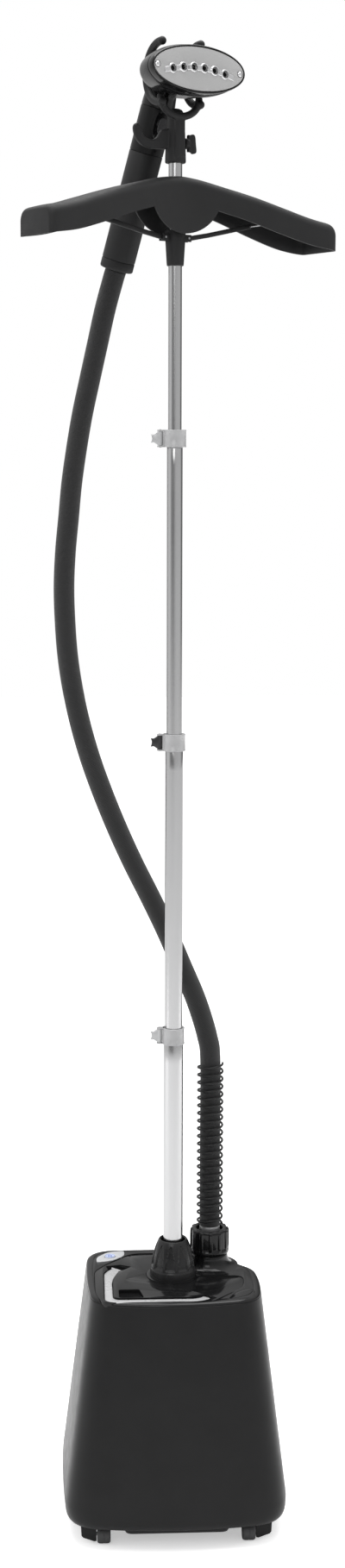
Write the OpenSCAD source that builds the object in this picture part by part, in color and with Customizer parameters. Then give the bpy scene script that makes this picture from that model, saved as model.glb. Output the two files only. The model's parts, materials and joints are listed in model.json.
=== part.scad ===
/* [Base] */
// height of the deck above the floor
deck_z = 300; // [270:1:330]
// wall of the moulded base parts
wall = 3; // [2:0.1:5]
// lowest edge of the body above the floor
body_low = 26; // [24:1:34]
// radius of each castor wheel
wheel_r = 11.5; // [9:0.1:14]

/* [Pole] */
// outer radius of the lowest tube
tube_r = 11.95; // [10:0.05:15]
// step in radius from one tube to the next
tube_step = 1.4; // [1.2:0.05:2]
// wall of each tube
tube_wall = 1.1; // [0.8:0.05:1.5]
// height of the lowest clamp
clamp_low = 602; // [560:1:640]
// height of the middle clamp
clamp_mid = 959; // [900:1:990]
// height of the top clamp
clamp_top = 1314; // [1260:1:1340]
// top end of the highest tube
pole_top = 1678; // [1640:1:1700]

/* [Hanger] */
// turn of the hanger about the pole in degrees
hanger_turn = 31; // [20:1:40]
// half length of the hanger
hanger_half = 190; // [160:1:210]
// wall of the hanger shell
hanger_wall = 2.6; // [2:0.1:4]

/* [Handset] */
// turn of the holder and head about the pole in degrees
holder_turn = 27; // [15:1:40]
// outer radius of the handle
handle_r = 19.6; // [16:0.1:23]
// outer radius of the hose
hose_r = 12.5; // [10:0.1:15]

/* [Hidden] */
$fn = 64;
gap = 0.4;
boss_x = 47;
boss_y = 30;
leaf_x = -75.8;
leaf_y = 60.8;
leaf_turn = 42;
spring_low = 352;
spring_turns = 21;
spring_pitch = 9.8;
spring_r = 15;
cradle_z = 1720.4;
cradle_y = -9.6;
cradle_r = 33;
cradle_x = 25;
head_z = 1719;
handle_at = [-66, 71, 1510];
handle_tilt = [0, 20.1, -37.2];
handle_len = 189;
pivot_z = 296.5;
bail_a = [-66, 22];
bail_b = [37, -73];
deck_c = [
  [-100, -84, 30], [0, -101, 60], [101, -84, 30], [106, -25, 28],
  [101, 14, 11], [30, 87, 30], [-104, 86, 34], [-107, 0, 45]
];
foot_c = [
  [-132, -116, 38], [0, -132, 80], [132, -116, 38], [137, -20, 48],
  [133, 42, 12], [52, 118, 34], [-134, 116, 44], [-138, 0, 70]
];
lid_c = [
  [-88, -87, 10], [43, -88, 6], [57, -73, 8], [83, -46, 14], [86, -9, 14], [28, -9, 4],
  [0, 0, 1], [-12, 70, 12], [-50, 70, 14], [-82, 34, 10], [-96, 12, 10], [-96, -60, 14]
];
leaf_c = [
  [-26, -3, 5], [-8, -12.5, 9], [15, -11, 8], [26, 2, 6], [8, 12.5, 9], [-15, 9, 7]
];
hose_path = [
  [47, 30, 352], [47, 30, 455], [47, 30, 560], [43, 32, 592], [30, 36, 635],
  [12, 41, 678], [-6, 46, 720], [-26, 50, 762], [-47, 54, 804], [-66, 58, 846],
  [-83, 62, 888], [-98, 66, 930], [-110, 70, 972], [-119, 73, 1014], [-125, 77, 1055],
  [-128, 80, 1097], [-129, 83, 1138], [-127, 85, 1180], [-123, 87, 1221],
  [-119, 88, 1262], [-113, 88, 1303], [-106, 87, 1343], [-97, 85, 1384],
  [-88, 83, 1424], [-79, 79, 1464], [-70, 74, 1497], [-66.2, 71.2, 1509.4]
];
castors = [[-103, -88.5, 1, -1], [103, -88.5, -1, -1], [-100, 79, 1, 1], [84, 50, -1, 1]];
tank_pipe = [
  [-30, -40, 104.9], [-30, -40, 80], [-28, -41, 62], [-10, -47, 56], [20, -57, 62],
  [42, -62, 68.6], [51, -62, 69.1]
];
boiler_pipe = [
  [82, -62, 92.4], [82, -62, 96], [83, -55, 101], [84, -43, 102], [80, -26, 101],
  [70, -15, 99], [62.4, -7, 98.2], [62, 1.2, 98]
];

function mix(a, b, f) = a + (b - a) * f;

function clip(v) = max(0, min(1, v));

function mix_corners(a, b, f) = [for (i = [0:len(a) - 1]) mix(a[i], b[i], f)];

function toward(p, q, d) =
  let (v = [q[0] - p[0], q[1] - p[1]]) [p[0], p[1]] + v / norm(v) * d;

function bend(a, p, b, s) = (1 - s) * (1 - s) * a + 2 * s * (1 - s) * p + s * s * b;

function outline(c, n) = [
  for (i = [0:len(c) - 1])
    let (
      k = len(c),
      p = [c[i][0], c[i][1]],
      a = toward(c[i], c[(i + k - 1) % k], c[i][2]),
      b = toward(c[i], c[(i + 1) % k], c[i][2])
    )
    for (j = [0:n]) bend(a, p, b, j / n)
];

function base_ring(z, inset) =
  let (
    f = clip((z - 50) / (deck_z - 50)),
    kx = 1 - inset / mix(137, 106, f),
    ky = 1 - inset / mix(125, 94, f)
  )
  [for (p = outline(mix_corners(foot_c, deck_c, f), 5)) [p[0] * kx, p[1] * ky, z]];

function base_rings(levels, extra) =
  [for (v = levels) base_ring(v[0], v[1] + extra)];

function oval_ring(y, a, b, n) =
  [for (i = [0:n - 1]) [a * cos(i * 360 / n), y, b * sin(i * 360 / n)]];

function slice_ring(x, y, w, top, low, r) = concat(
  [[x, y - w / 2, low]],
  [for (i = [0:4]) [x, y - w / 2 + r - r * cos(i * 22.5), top - r + r * sin(i * 22.5)]],
  [for (i = [4:-1:0]) [x, y + w / 2 - r + r * cos(i * 22.5), top - r + r * sin(i * 22.5)]],
  [[x, y + w / 2, low]]
);

function hanger_top(x) = lookup(abs(x), [
  [0, 1608], [10, 1607.3], [28, 1604.5], [55, 1598], [90, 1589], [125, 1578.5],
  [155, 1569.5], [175, 1565], [190, 1563]
]);

function hanger_low(x) = abs(x) <= 42
  ? 1590 - sqrt(46 * 46 - x * x)
  : lookup(abs(x), [[42, 1571], [75, 1562], [115, 1549], [155, 1537.5], [190, 1532]]);

function hanger_wide(x) = lookup(abs(x), [
  [0, 39], [20, 40], [45, 45], [80, 56], [120, 66], [155, 70], [190, 70]
]);

function hanger_bow(x) = -0.09 * max(0, abs(x) - 10);

function spline(p, i, s) =
  let (
    a = p[max(0, i - 1)],
    b = p[i],
    c = p[i + 1],
    d = p[min(len(p) - 1, i + 2)]
  )
  b + 0.5 * s * (c - a + s * (2 * a - 5 * b + 4 * c - d + s * (3 * (b - c) + d - a)));

function trace(p, n) = concat(
  [for (i = [0:len(p) - 2]) for (j = [0:n - 1]) spline(p, i, j / n)],
  [p[len(p) - 1]]
);

function hose_ring(p, t, r, n) =
  let (
    u = cross([0, 1, 0], t) / norm(cross([0, 1, 0], t)),
    v = cross(t, u)
  )
  [for (i = [0:n - 1]) p + r * (cos(i * 360 / n) * u + sin(i * 360 / n) * v)];

function heading(p, i) =
  let (v = p[min(len(p) - 1, i + 1)] - p[max(0, i - 1)]) v / norm(v);

module skin(rings) {
  n = len(rings[0]);
  m = len(rings);
  pts = [for (r = rings) for (p = r) p];
  lower = [for (i = [0:n - 1]) i];
  upper = [for (i = [n - 1:-1:0]) (m - 1) * n + i];
  sides = [for (k = [0:m - 2]) for (i = [0:n - 1]) for (h = [0:1])
    h == 0
      ? [k * n + i, (k + 1) * n + i, (k + 1) * n + (i + 1) % n]
      : [k * n + i, (k + 1) * n + (i + 1) % n, k * n + (i + 1) % n]];
  polyhedron(points = pts, faces = concat([lower], sides, [upper]));
}

module slab(c, low, high, grow = 0) {
  translate([0, 0, low])
    linear_extrude(high - low)
      offset(delta = grow)
        polygon(outline(c, 5));
}

module lid_slab(low, high, grow, ring) {
  difference() {
    slab(lid_c, low, high, grow);
    translate([0, 0, low - 1])
      cylinder(h = high - low + 2, r = ring);
  }
}

module at_holder() {
  rotate([0, 0, holder_turn])
    children();
}

module at_head() {
  at_holder()
    translate([0, cradle_y, head_z])
      rotate([0, 1.4, 0])
        children();
}

module at_handle() {
  translate(handle_at)
    rotate(handle_tilt)
      children();
}

module at_leaf(z) {
  translate([leaf_x, leaf_y, z])
    rotate([0, 0, leaf_turn])
      children();
}

module arc_tube(r, thick, from, sweep) {
  rotate([0, 0, from])
    rotate_extrude(angle = sweep)
      translate([r, 0])
        circle(thick, $fn = 24);
}

module tube(r, low, high) {
  color("silver")
    difference() {
      translate([0, 0, low])
        cylinder(h = high - low, r = r);
      translate([0, 0, low - 1])
        cylinder(h = high - low + 2, r = r - tube_wall);
    }
}

module base_pan() {
  color("dimgray") {
    difference() {
      slab(foot_c, 24.5, 29, -20.6);
      for (c = castors)
        translate([c[0], c[1], 20])
          cylinder(h = 12, r = 5.2);
      for (x = [-60, 60])
        for (y = [-70, 60])
          translate([x, y, 20])
            cylinder(h = 12, r = 2.2);
    }
    difference() {
      translate([0, 0, 29])
        cylinder(h = 12, r = 24);
      translate([0, 0, 28.9])
        cylinder(h = 14, r = 18.1);
    }
  }
}

module body_shell() {
  low = body_low;
  levels = [
    [low, 14], [low + 2, 9], [low + 5, 4.8], [low + 10, 2.1], [low + 17, 0.6],
    [low + 26, 0], [120, 0], [200, 0], [deck_z - 10.4, 0]
  ];
  inner = [
    [low - 1, 16], [low + 2, 9], [low + 5, 4.8], [low + 10, 2.1], [low + 17, 0.6],
    [low + 26, 0], [120, 0], [200, 0], [deck_z - 8, 0]
  ];
  color("black")
    difference() {
      skin(base_rings(levels, 0));
      skin(base_rings(inner, wall));
      translate([-70, 130, 52])
        rotate([90, 0, 0])
          cylinder(h = 40, r = 8.3);
    }
}

module boss_flare() {
  difference() {
    translate([boss_x, boss_y, 0])
      rotate_extrude()
        polygon([
          [14, deck_z - 3.3], [34, deck_z - 3.3], [34, deck_z - 0.2], [28, deck_z + 1.6],
          [24, deck_z + 4.6], [22, deck_z + 8.6], [21.2, deck_z + 13],
          [21.2, deck_z + 16.6], [14, deck_z + 16.6]
        ]);
    translate([0, 0, deck_z - 5])
      cylinder(h = 30, r = 30.5);
  }
}

module deck_cover() {
  top = deck_z;
  outer = [[top - 10, 0], [top - 4, 0.2], [top - 1.4, 1.2], [top - 0.4, 2.4], [top, 4.4]];
  inner = [[top - 11, wall], [top - 6, wall], [top - 3.4, wall + 1]];
  color("black")
    difference() {
      union() {
        difference() {
          skin(base_rings(outer, 0));
          skin(base_rings(inner, 0));
          lid_slab(top - 20, top + 5, 0.6, 32.4);
          translate([boss_x, boss_y, top - 20])
            cylinder(h = 30, r = 20);
        }
        boss_flare();
      }
      at_leaf(top - 1.4)
        slab(leaf_c, 0, 5, 0.3);
      at_leaf(top - 12)
        cylinder(h = 20, r = 4.4);
      translate([0, 0, top - 20])
        cylinder(h = 30, r = 24);
      difference() {
        skin(base_rings([[top - 0.7, 8], [top + 1, 8]], 0));
        skin(base_rings([[top - 2, 8.9], [top + 2, 8.9]], 0));
      }
    }
}

module control_leaf() {
  color("white")
    at_leaf(deck_z - 1.3)
      difference() {
        slab(leaf_c, 0, 2);
        translate([0, 0, -1])
          cylinder(h = 5, r = 7);
      }
}

module power_button() {
  color("lightblue")
    at_leaf(0) {
      translate([0, 0, deck_z - 0.6 + 1.6])
        cylinder(h = 1.2, r = 6.6);
      translate([0, 0, deck_z - 10])
        cylinder(h = 12, r = 4);
    }
}

module pole_socket() {
  color("dimgray")
    difference() {
      translate([0, 0, 29.1])
        cylinder(h = deck_z + 0.9, r = 17.9);
      translate([0, 0, 60])
        cylinder(h = deck_z + 60, r = tube_r + 0.05);
      translate([0, 0, 28])
        cylinder(h = 20, r = 10);
    }
}

module pole_collar() {
  top = deck_z + 46;
  color("black")
    difference() {
      translate([0, 0, 0])
        rotate_extrude()
          polygon([
            [18.6, deck_z + 0.1], [30, deck_z + 0.1], [29.8, deck_z + 3], [28, deck_z + 9],
            [26.9, deck_z + 9.4], [26.7, deck_z + 10], [25.4, deck_z + 18],
            [23.4, deck_z + 27], [20.8, deck_z + 36], [18, deck_z + 43.5], [17, top],
            [14.6, top], [14.6, deck_z + 40], [18.6, deck_z + 36]
          ]);
      for (i = [0:9])
        rotate([0, 0, i * 36 + 8])
          translate([32.4, 0, deck_z + 11])
            rotate([0, -14, 0])
              cylinder(h = 24, r = 6.6);
    }
}

module tank_dock() {
  color("dimgray")
    difference() {
      union() {
        translate([-75, -70, 29.1])
          cube([8, 60, 80.5]);
        translate([40, -70, 29.1])
          cube([8, 50, 80.5]);
        translate([-75, -44, 80])
          cube([123, 8, 25]);
        translate([-30, -40, 80])
          cylinder(h = 25, r = 15);
      }
      translate([-30, -40, 70])
        cylinder(h = 50, r = 11);
      translate([38, -61.4, 67.8])
        rotate([0, 90, 0])
          cylinder(h = 12, r = 7);
      translate([0, 0, 28])
        cylinder(h = 100, r = 19);
    }
}

module boiler() {
  color("silver")
    difference() {
      union() {
        translate([58, 36, 52])
          cylinder(h = 76, r = 34);
        translate([58, 36, 86])
          cylinder(h = 5, r = 37.5);
        for (i = [0:3])
          translate([58, 36, 29.1])
            rotate([0, 0, i * 90])
              translate([28, 0, 0])
                cylinder(h = 24, r = 4);
      }
      translate([58, 36, 55])
        cylinder(h = 70, r = 30);
      translate([boss_x, boss_y, 120])
        cylinder(h = 20, r = 5);
      for (i = [-1, 1])
        translate([58, 36, 50])
          rotate([0, 0, i * 20])
            translate([22, 0, 0])
              cylinder(h = 8, r = 3.6);
    }
}

module heating_element() {
  color("gray")
    translate([58, 36, 60]) {
      arc_tube(22, 3.4, 20, 320);
      for (i = [-1, 1])
        rotate([0, 0, i * 20])
          translate([22, 0, -12])
            cylinder(h = 12, r = 3.4);
    }
}

module water_pump() {
  color("dimgray")
    translate([82, -62, 29.1]) {
      cylinder(h = 42, r = 19);
      translate([0, 0, 42])
        cylinder(h = 12, r = 12);
      translate([-30, 0, 40])
        rotate([0, 90, 0])
          cylinder(h = 14, r = 4);
      translate([0, 0, 54])
        cylinder(h = 8, r = 4);
    }
}

module circuit_board() {
  color("green")
    at_leaf(0)
      difference() {
        union() {
          translate([-20, -8, deck_z - 28])
            cube([40, 17, 1.6]);
          translate([-6, -6, deck_z - 26.4])
            cube([12, 12, 14.5]);
          translate([10, -5, deck_z - 26.4])
            cube([7, 10, 9]);
        }
        for (x = [-17.5, 17.5])
          translate([x, 5.5, deck_z - 30])
            cylinder(h = 5, r = 1.4);
      }
}

module pipe(path, r) {
  p = trace(path, 3);
  skin([for (i = [0:len(p) - 1]) hose_ring(p[i], heading(p, i), r, 12)]);
}

module water_pipe() {
  color("gainsboro") {
    pipe(tank_pipe, 4);
    pipe(boiler_pipe, 4);
  }
}

module steam_pipe() {
  color("silver")
    translate([boss_x, boss_y, 0])
      difference() {
        translate([0, 0, 122])
          cylinder(h = deck_z - 136, r = 4.9);
        translate([0, 0, 120])
          cylinder(h = deck_z, r = 3.6);
      }
}

module hose_outlet() {
  color("silver")
    translate([boss_x, boss_y, 0])
      difference() {
        union() {
          translate([0, 0, deck_z - 13.9])
            cylinder(h = 10.4, r = 18);
          translate([0, 0, deck_z - 3.6])
            cylinder(h = 55.4, r = 12.5);
        }
        translate([0, 0, deck_z - 20])
          cylinder(h = 90, r = 9);
      }
}

module hose_nut() {
  color("black")
    translate([boss_x, boss_y, 0])
      difference() {
        union() {
          rotate_extrude()
            polygon([
              [12.58, deck_z + 17], [23.4, deck_z + 17], [24, deck_z + 19],
              [23.4, deck_z + 44], [21.6, deck_z + 48], [16, deck_z + 48.6], [12.58, deck_z + 48.6]
            ]);
          for (i = [0:17])
            rotate([0, 0, i * 20])
              translate([23.1, 0, deck_z + 24])
                cylinder(h = 20, r = 1.5, $fn = 24);
        }
        translate([0, 0, deck_z + 20])
          difference() {
            cylinder(h = 21, r = 20.5);
            translate([0, 0, -1])
              cylinder(h = 23, r = 14.6);
          }
      }
}

module hose_spring() {
  n = 12;
  m = spring_turns * n;
  color("dimgray")
    skin([
      for (k = [0:m])
        let (
          a = k * 360 / n,
          p = [boss_x + spring_r * cos(a), boss_y + spring_r * sin(a),
            spring_low + 1.2 + k * spring_pitch / n],
          t = [-spring_r * sin(a), spring_r * cos(a), spring_pitch / 6.2832],
          w = t / norm(t),
          u = [cos(a), sin(a), 0],
          v = cross(w, u)
        )
        [for (i = [0:5]) p + 1.05 * (cos(-i * 60) * u + sin(-i * 60) * v)]
    ]);
}

module steam_hose() {
  color("black")
    pipe(hose_path, hose_r);
}

module cord_gland() {
  color("black")
    translate([-70, 118, 52])
      rotate([90, 0, 0])
        difference() {
          union() {
            cylinder(h = 22, r = 8);
            translate([0, 0, -7])
              cylinder(h = 5, r = 11);
            translate([0, 0, -3])
              cylinder(h = 4, r = 8);
          }
          translate([0, 0, -10])
            cylinder(h = 40, r = 3.6);
        }
}

module base_screws() {
  color("silver")
    for (x = [-60, 60])
      for (y = [-70, 60])
        translate([x, y, 0]) {
          translate([0, 0, 23.3])
            cylinder(h = 1.2, r = 4);
          translate([0, 0, 24])
            cylinder(h = 5, r = 2);
        }
}

module castor_sockets() {
  color("dimgray")
    for (c = castors)
      translate([c[0], c[1], 0])
        difference() {
          union() {
            translate([0, 0, 24.6])
              cylinder(h = 20, r = 5);
            translate([0, 0, 29.1])
              cylinder(h = 4, r = 7.5);
          }
          translate([0, 0, 24])
            cylinder(h = 17, r = 3.05);
        }
}

module castor_fork(c) {
  color("black")
    difference() {
      union() {
        translate([c[0], c[1], 21])
          cylinder(h = 3.4, r = 5.5);
        translate([c[0], c[1], 23])
          cylinder(h = 17, r = 3);
        translate([c[0], c[1], 0])
          rotate([90, 0, 0])
            translate([0, 0, -13])
              linear_extrude(26)
                polygon([
                  [-12 * c[2], 23.4], [6.8 * c[2], 23.4], [6.8 * c[2], 5], [4 * c[2], 4.6],
                  [-9.4 * c[2], 9.6], [-11.4 * c[2], 12]
                ]);
      }
      translate([c[0], c[1] + 7 * c[3], wheel_r])
        rotate([0, 90, 0])
          cylinder(h = 30, r = 2.16, center = true);
    }
}

module castor_wheel(c) {
  x = c[0] + 15.6 * c[2];
  color("dimgray")
    translate([x, c[1] + 7 * c[3], wheel_r])
      rotate([0, 90, 0])
        difference() {
          rotate_extrude()
            polygon([
              [2.1, -8], [8.5, -8], [10.4, -7], [wheel_r, -4.6], [wheel_r, 4.6],
              [10.4, 7], [8.5, 8], [2.1, 8]
            ]);
          translate([0, 0, c[2] < 0 ? -9 : 6.4])
            cylinder(h = 2.6, r = 7);
        }
  color("silver")
    translate([c[0] + 5 * c[2], c[1] + 7 * c[3], wheel_r])
      rotate([0, 90 * c[2], 0])
        translate([0, 0, -8])
          cylinder(h = 24, r = 2.1);
}

module fork_fl() {
  castor_fork(castors[0]);
}

module fork_fr() {
  castor_fork(castors[1]);
}

module fork_bl() {
  castor_fork(castors[2]);
}

module fork_br() {
  castor_fork(castors[3]);
}

module wheel_fl() {
  castor_wheel(castors[0]);
}

module wheel_fr() {
  castor_wheel(castors[1]);
}

module wheel_bl() {
  castor_wheel(castors[2]);
}

module wheel_br() {
  castor_wheel(castors[3]);
}

module tank_body() {
  color("dimgray")
    difference() {
      union() {
        lid_slab(110, deck_z - 7.1, -3.6, 33);
        translate([-30, -40, 106.4])
          cylinder(h = 4, r = 9);
      }
      lid_slab(113, deck_z, -6.2, 35.6);
      translate([-30, -40, 100])
        cylinder(h = 20, r = 6);
    }
}

module tank_cap() {
  color("gray")
    translate([-30, -40, 0])
      difference() {
        union() {
          translate([0, 0, 106.6])
            cylinder(h = 9, r = 5.9);
          translate([0, 0, 113.1])
            cylinder(h = 3, r = 9);
        }
        translate([0, 0, 106])
          cylinder(h = 12, r = 2.5);
      }
}

module bail_shape() {
  polygon(outline([
    [-85, -86, 16], [28, -86, 8], [42, -78, 4], [37, -68, 4], [24, -74, 6], [-73, -74, 8],
    [-72, -10, 14], [-62, 20, 6], [-71, 27, 4], [-84, 14, 8]
  ], 5));
}

module at_bail_axis() {
  v = bail_b - bail_a;
  translate([bail_a[0], bail_a[1], pivot_z])
    rotate([0, 0, atan2(v[1], v[0])])
      children();
}

module bail_pins(r) {
  for (x = [-11, norm(bail_b - bail_a) - 9])
    at_bail_axis()
      translate([x, 0, 0])
        rotate([0, 90, 0])
          cylinder(h = 20, r = r);
}

module tank_lid() {
  top = deck_z - 0.4;
  color("black")
    difference() {
      lid_slab(deck_z - 7, top, 0, 33);
      translate([0, 0, deck_z - 5])
        linear_extrude(10)
          offset(delta = 1.2)
            bail_shape();
      translate([-68, -73, deck_z - 5])
        cube([30, 26, 10]);
      for (u = [-8.8, norm(bail_b - bail_a) - 8.4])
        at_bail_axis()
          translate([u, -4.5, -2.1])
            cube([17.1, 6.8, 10]);
      bail_pins(1.36);
    }
}

module bail() {
  color("silver") {
    difference() {
      translate([0, 0, pivot_z - 1.3])
        linear_extrude(2.6)
          bail_shape();
      at_bail_axis()
        translate([-20, 1.3, -5])
          cube([190, 30, 10]);
    }
    bail_pins(1.3);
  }
}

module clamp_band(z, r) {
  color("silver")
    translate([0, 0, z])
      difference() {
        union() {
          translate([0, 0, -10])
            cylinder(h = 20, r = 13.3);
          for (s = [-9.2, 9.2])
            translate([-17, 0, s - 0.8])
              cylinder(h = 1.6, r = 3.4);
          for (s = [-9.2, 9.2])
            translate([-17, -3.4, s - 0.8])
              cube([8, 6.8, 1.6]);
        }
        translate([0, 0, -12])
          cylinder(h = 19, r = r + 0.05);
        translate([0, 0, 6])
          cylinder(h = 6, r = r - tube_step + 0.35);
        translate([-17, 0, -12])
          cylinder(h = 24, r = 1.35);
      }
}

module clamp_lever(z) {
  color("silver")
    translate([0, 0, z])
      difference() {
        union() {
          translate([-17, 0, -8.2])
            cylinder(h = 16.4, r = 3.1);
          translate([0, 2.6, 0])
            rotate([90, 0, 0])
              linear_extrude(5.2)
                polygon([
                  [-17, -8.2], [-17, 8.2], [-19.5, 7.6], [-24.6, 4.2], [-27.8, 5],
                  [-26.6, 2.6], [-26.6, -2.6], [-27.8, -5], [-24.6, -4.2], [-19.5, -7.6]
                ]);
        }
        translate([-17, 0, -10])
          cylinder(h = 20, r = 1.35);
      }
}

module clamp_pin(z) {
  color("gray")
    translate([-17, 0, z - 10.4])
      cylinder(h = 20.8, r = 1.3);
}

module band_3() {
  clamp_band(clamp_low, tube_r);
}

module band_2() {
  clamp_band(clamp_mid, tube_r - tube_step);
}

module band_1() {
  clamp_band(clamp_top, tube_r - 2 * tube_step);
}

module lever_3() {
  clamp_lever(clamp_low);
}

module lever_2() {
  clamp_lever(clamp_mid);
}

module lever_1() {
  clamp_lever(clamp_top);
}

module pin_3() {
  clamp_pin(clamp_low);
}

module pin_2() {
  clamp_pin(clamp_mid);
}

module pin_1() {
  clamp_pin(clamp_top);
}

module tube_4() {
  tube(tube_r, 60.1, clamp_low + 6.8);
}

module tube_3() {
  tube(tube_r - tube_step, clamp_low - 90, clamp_mid + 6.8);
}

module tube_2() {
  tube(tube_r - 2 * tube_step, clamp_mid - 90, clamp_top + 6.8);
}

module tube_1() {
  tube(tube_r - 3 * tube_step, clamp_top - 90, pole_top);
}

module hanger_shell() {
  ends = [190, 187, 180, 165, 145, 120, 95, 70, 52, 43, 42, 36, 28, 18, 8];
  stations = concat(ends, [0], [for (i = [len(ends) - 1:-1:0]) -ends[i]]);
  color("darkslategray")
    rotate([0, 0, hanger_turn])
      difference() {
        skin([
          for (x = stations)
            let (e = abs(x) > 189 ? 9 : abs(x) > 186 ? 3.4 : abs(x) > 179 ? 0.6 : 0)
            slice_ring(x, hanger_bow(x), hanger_wide(x) - e, hanger_top(x) - e / 2, hanger_low(x), 11)
        ]);
        skin([
          for (x = stations)
            let (k = (hanger_half - 3) / hanger_half, t = hanger_wall)
            slice_ring(x * k, hanger_bow(x), hanger_wide(x) - 2 * t, hanger_top(x) - t,
              hanger_low(x) - 30, 9)
        ]);
        translate([0, 0, 1560])
          cylinder(h = 70, r = tube_r - 3 * tube_step + 0.5);
      }
}

module hanger_collar() {
  color("darkslategray")
    rotate([0, 0, hanger_turn])
      difference() {
        union() {
          translate([0, 0, 1509])
            cylinder(h = 40, r1 = 9.7, r2 = 12.2);
          for (s = [-1, 1])
            for (y = [-4.6, 2.2])
              translate([s * 14.5 - 5, y, 1536.5])
                cube([10, 2.4, 8]);
        }
        translate([0, 0, 1500])
          cylinder(h = 60, r = tube_r - 3 * tube_step + 0.07);
        for (s = [-1, 1])
          translate([s * 16, 0, 1540.5])
            rotate([90, 0, 0])
              cylinder(h = 20, r = 1.25, center = true);
      }
}

module strut(s) {
  color("darkslategray")
    rotate([0, 0, hanger_turn])
      difference() {
        translate([s * 16, 2, 1540.5])
          rotate([90, 0, 0])
            linear_extrude(4)
              polygon([
                [-s * 2.6, -2.6], [s * 2, -2.8], [s * 90, 16], [s * 92, 19.5], [s * 89, 21.2],
                [s * 2, 2.8], [-s * 2.6, 2.4]
              ]);
        translate([s * 16, 0, 1540.5])
          rotate([90, 0, 0])
            cylinder(h = 20, r = 1.25, center = true);
        translate([s * 104, 0, 1559])
          rotate([90, 0, 0])
            cylinder(h = 20, r = 1.25, center = true);
      }
}

module strut_left() {
  strut(-1);
}

module strut_right() {
  strut(1);
}

module strut_pins() {
  color("gray")
    rotate([0, 0, hanger_turn])
      for (s = [-1, 1]) {
        translate([s * 16, 0, 1540.5])
          rotate([90, 0, 0])
            cylinder(h = 10.4, r = 1.2, center = true);
        translate([s * 104, hanger_bow(104), 1559])
          rotate([90, 0, 0])
            cylinder(h = hanger_wide(104) - 5.3, r = 1.2, center = true);
      }
}

module holder() {
  bore = tube_r - 3 * tube_step + 0.05;
  color("darkslategray")
    at_holder()
      difference() {
        union() {
          translate([0, 0, 1623])
            cylinder(h = 36, r = 11);
          translate([0, 0, 1658])
            cylinder(h = 22, r1 = 11, r2 = 9.6);
          translate([0, 0, 1680])
            sphere(9.6);
          translate([-6.2, -12.6, 1626])
            cube([12.4, 12.6, 58]);
          translate([0, cradle_y, 1693.4])
            rotate([90, 0, 0])
              arc_tube(cradle_x, 4.2, 180, 180);
          for (s = [-1, 1])
            translate([s * cradle_x, cradle_y, cradle_z]) {
              rotate([90, 0, -90])
                arc_tube(cradle_r, 4.4, 84, 192);
              for (a = [84, 276])
                rotate([90, 0, -90])
                  rotate([0, 0, a])
                    translate([cradle_r, 0, 0])
                      sphere(4.8);
            }
          translate([0, 3.4, 0])
            rotate([90, 0, 0])
              linear_extrude(7)
                polygon([
                  [-8, 1640], [-8, 1661], [-17, 1661], [-20, 1659], [-24, 1651],
                  [-29, 1648], [-36, 1648.5], [-40, 1652], [-43, 1661], [-46, 1665],
                  [-50, 1664.5], [-51.4, 1661], [-50, 1653], [-45, 1645], [-38, 1640.5],
                  [-29, 1639]
                ]);
        }
        translate([0, 0, 1600])
          cylinder(h = pole_top - 1599.7, r = bore);
        translate([5, 0, 1645.5])
          rotate([0, 90, 0])
            cylinder(h = 12, r = 2.35);
      }
}

module thumb_screw() {
  color("darkslategray")
    at_holder()
      translate([0, 0, 1645.5]) {
        translate([8.2, 0, 0])
          rotate([0, 90, 0])
            cylinder(h = 10, r = 2.3);
        translate([11.6, 0, 0])
          rotate([0, 90, 0])
            cylinder(h = 6, r = 6);
        translate([17, 2.4, 0])
          rotate([90, 0, 0])
            linear_extrude(4.8)
              polygon([
                [-1, -9], [3, -9], [5, -10.6], [8, -10.2], [9.6, -7.6], [8.8, 0],
                [8, 8], [6, 10.6], [3, 10.4], [1, 9], [-1, 9]
              ]);
      }
}

module head_shell() {
  shape = [
    [-26, 4, 3], [-24.6, 16, 8.4], [-21, 27, 15], [-15, 38, 21], [-7, 47, 24.8],
    [2, 53, 26], [12, 56, 26.8], [24, 58, 27.8], [31, 59, 27.4], [35.5, 59.4, 26.2],
    [37, 59.4, 25.8], [40, 59.2, 25.5]
  ];
  color("black")
    difference() {
      union() {
        at_head()
          skin([for (v = shape) oval_ring(-v[0], v[1], v[2], 40)]);
        neck(0);
      }
      at_head()
        skin([
          for (v = [[-22, 14, 7], [-12, 36, 19], [2, 50, 23.2], [24, 55, 25], [34, 56.4, 24],
            [41, 56.8, 23]])
            oval_ring(-v[0], v[1], v[2], 40)
        ]);
      neck(-2.4);
    }
}

module neck(grow) {
  steps = [
    [0, 19.4, 19.4, 0, 0], [6, 18.4, 19, 0, -0.4], [13, 17, 17.6, 0.6, -1.6],
    [22, 15.4, 15.4, 3.4, -5], [31, 14, 13.4, 8, -9.6], [38, 12.4, 11.4, 12, -14]
  ];
  at_handle()
    skin([
      for (v = steps)
        [for (i = [0:31]) [
          v[3] + (v[1] + grow) * cos(i * 11.25),
          v[4] + (v[2] + grow) * sin(i * 11.25),
          handle_len + v[0] + (grow < 0 && v[0] == 0 ? -1 : 0)
        ]]
    ]);
}

module sole_plate() {
  color("lightgray")
    at_head()
      translate([0, -40.3, 0])
        rotate([90, 0, 0])
          difference() {
            scale([57.6 / 23.5, 1, 1])
              cylinder(h = 3, r = 23.5);
            for (i = [0:5])
              translate([i * 13.4 - 33.5, 1.6 - 0.0036 * pow(i * 13.4 - 33.5, 2), -1])
                cylinder(h = 6, r = 2.8, $fn = 32);
            translate([-44, -2.4, 2.2])
              cube([88, 5, 2]);
            for (s = [-1, 1])
              translate([s * 53, 0, -1])
                cylinder(h = 6, r = 1.8);
          }
}

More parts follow.
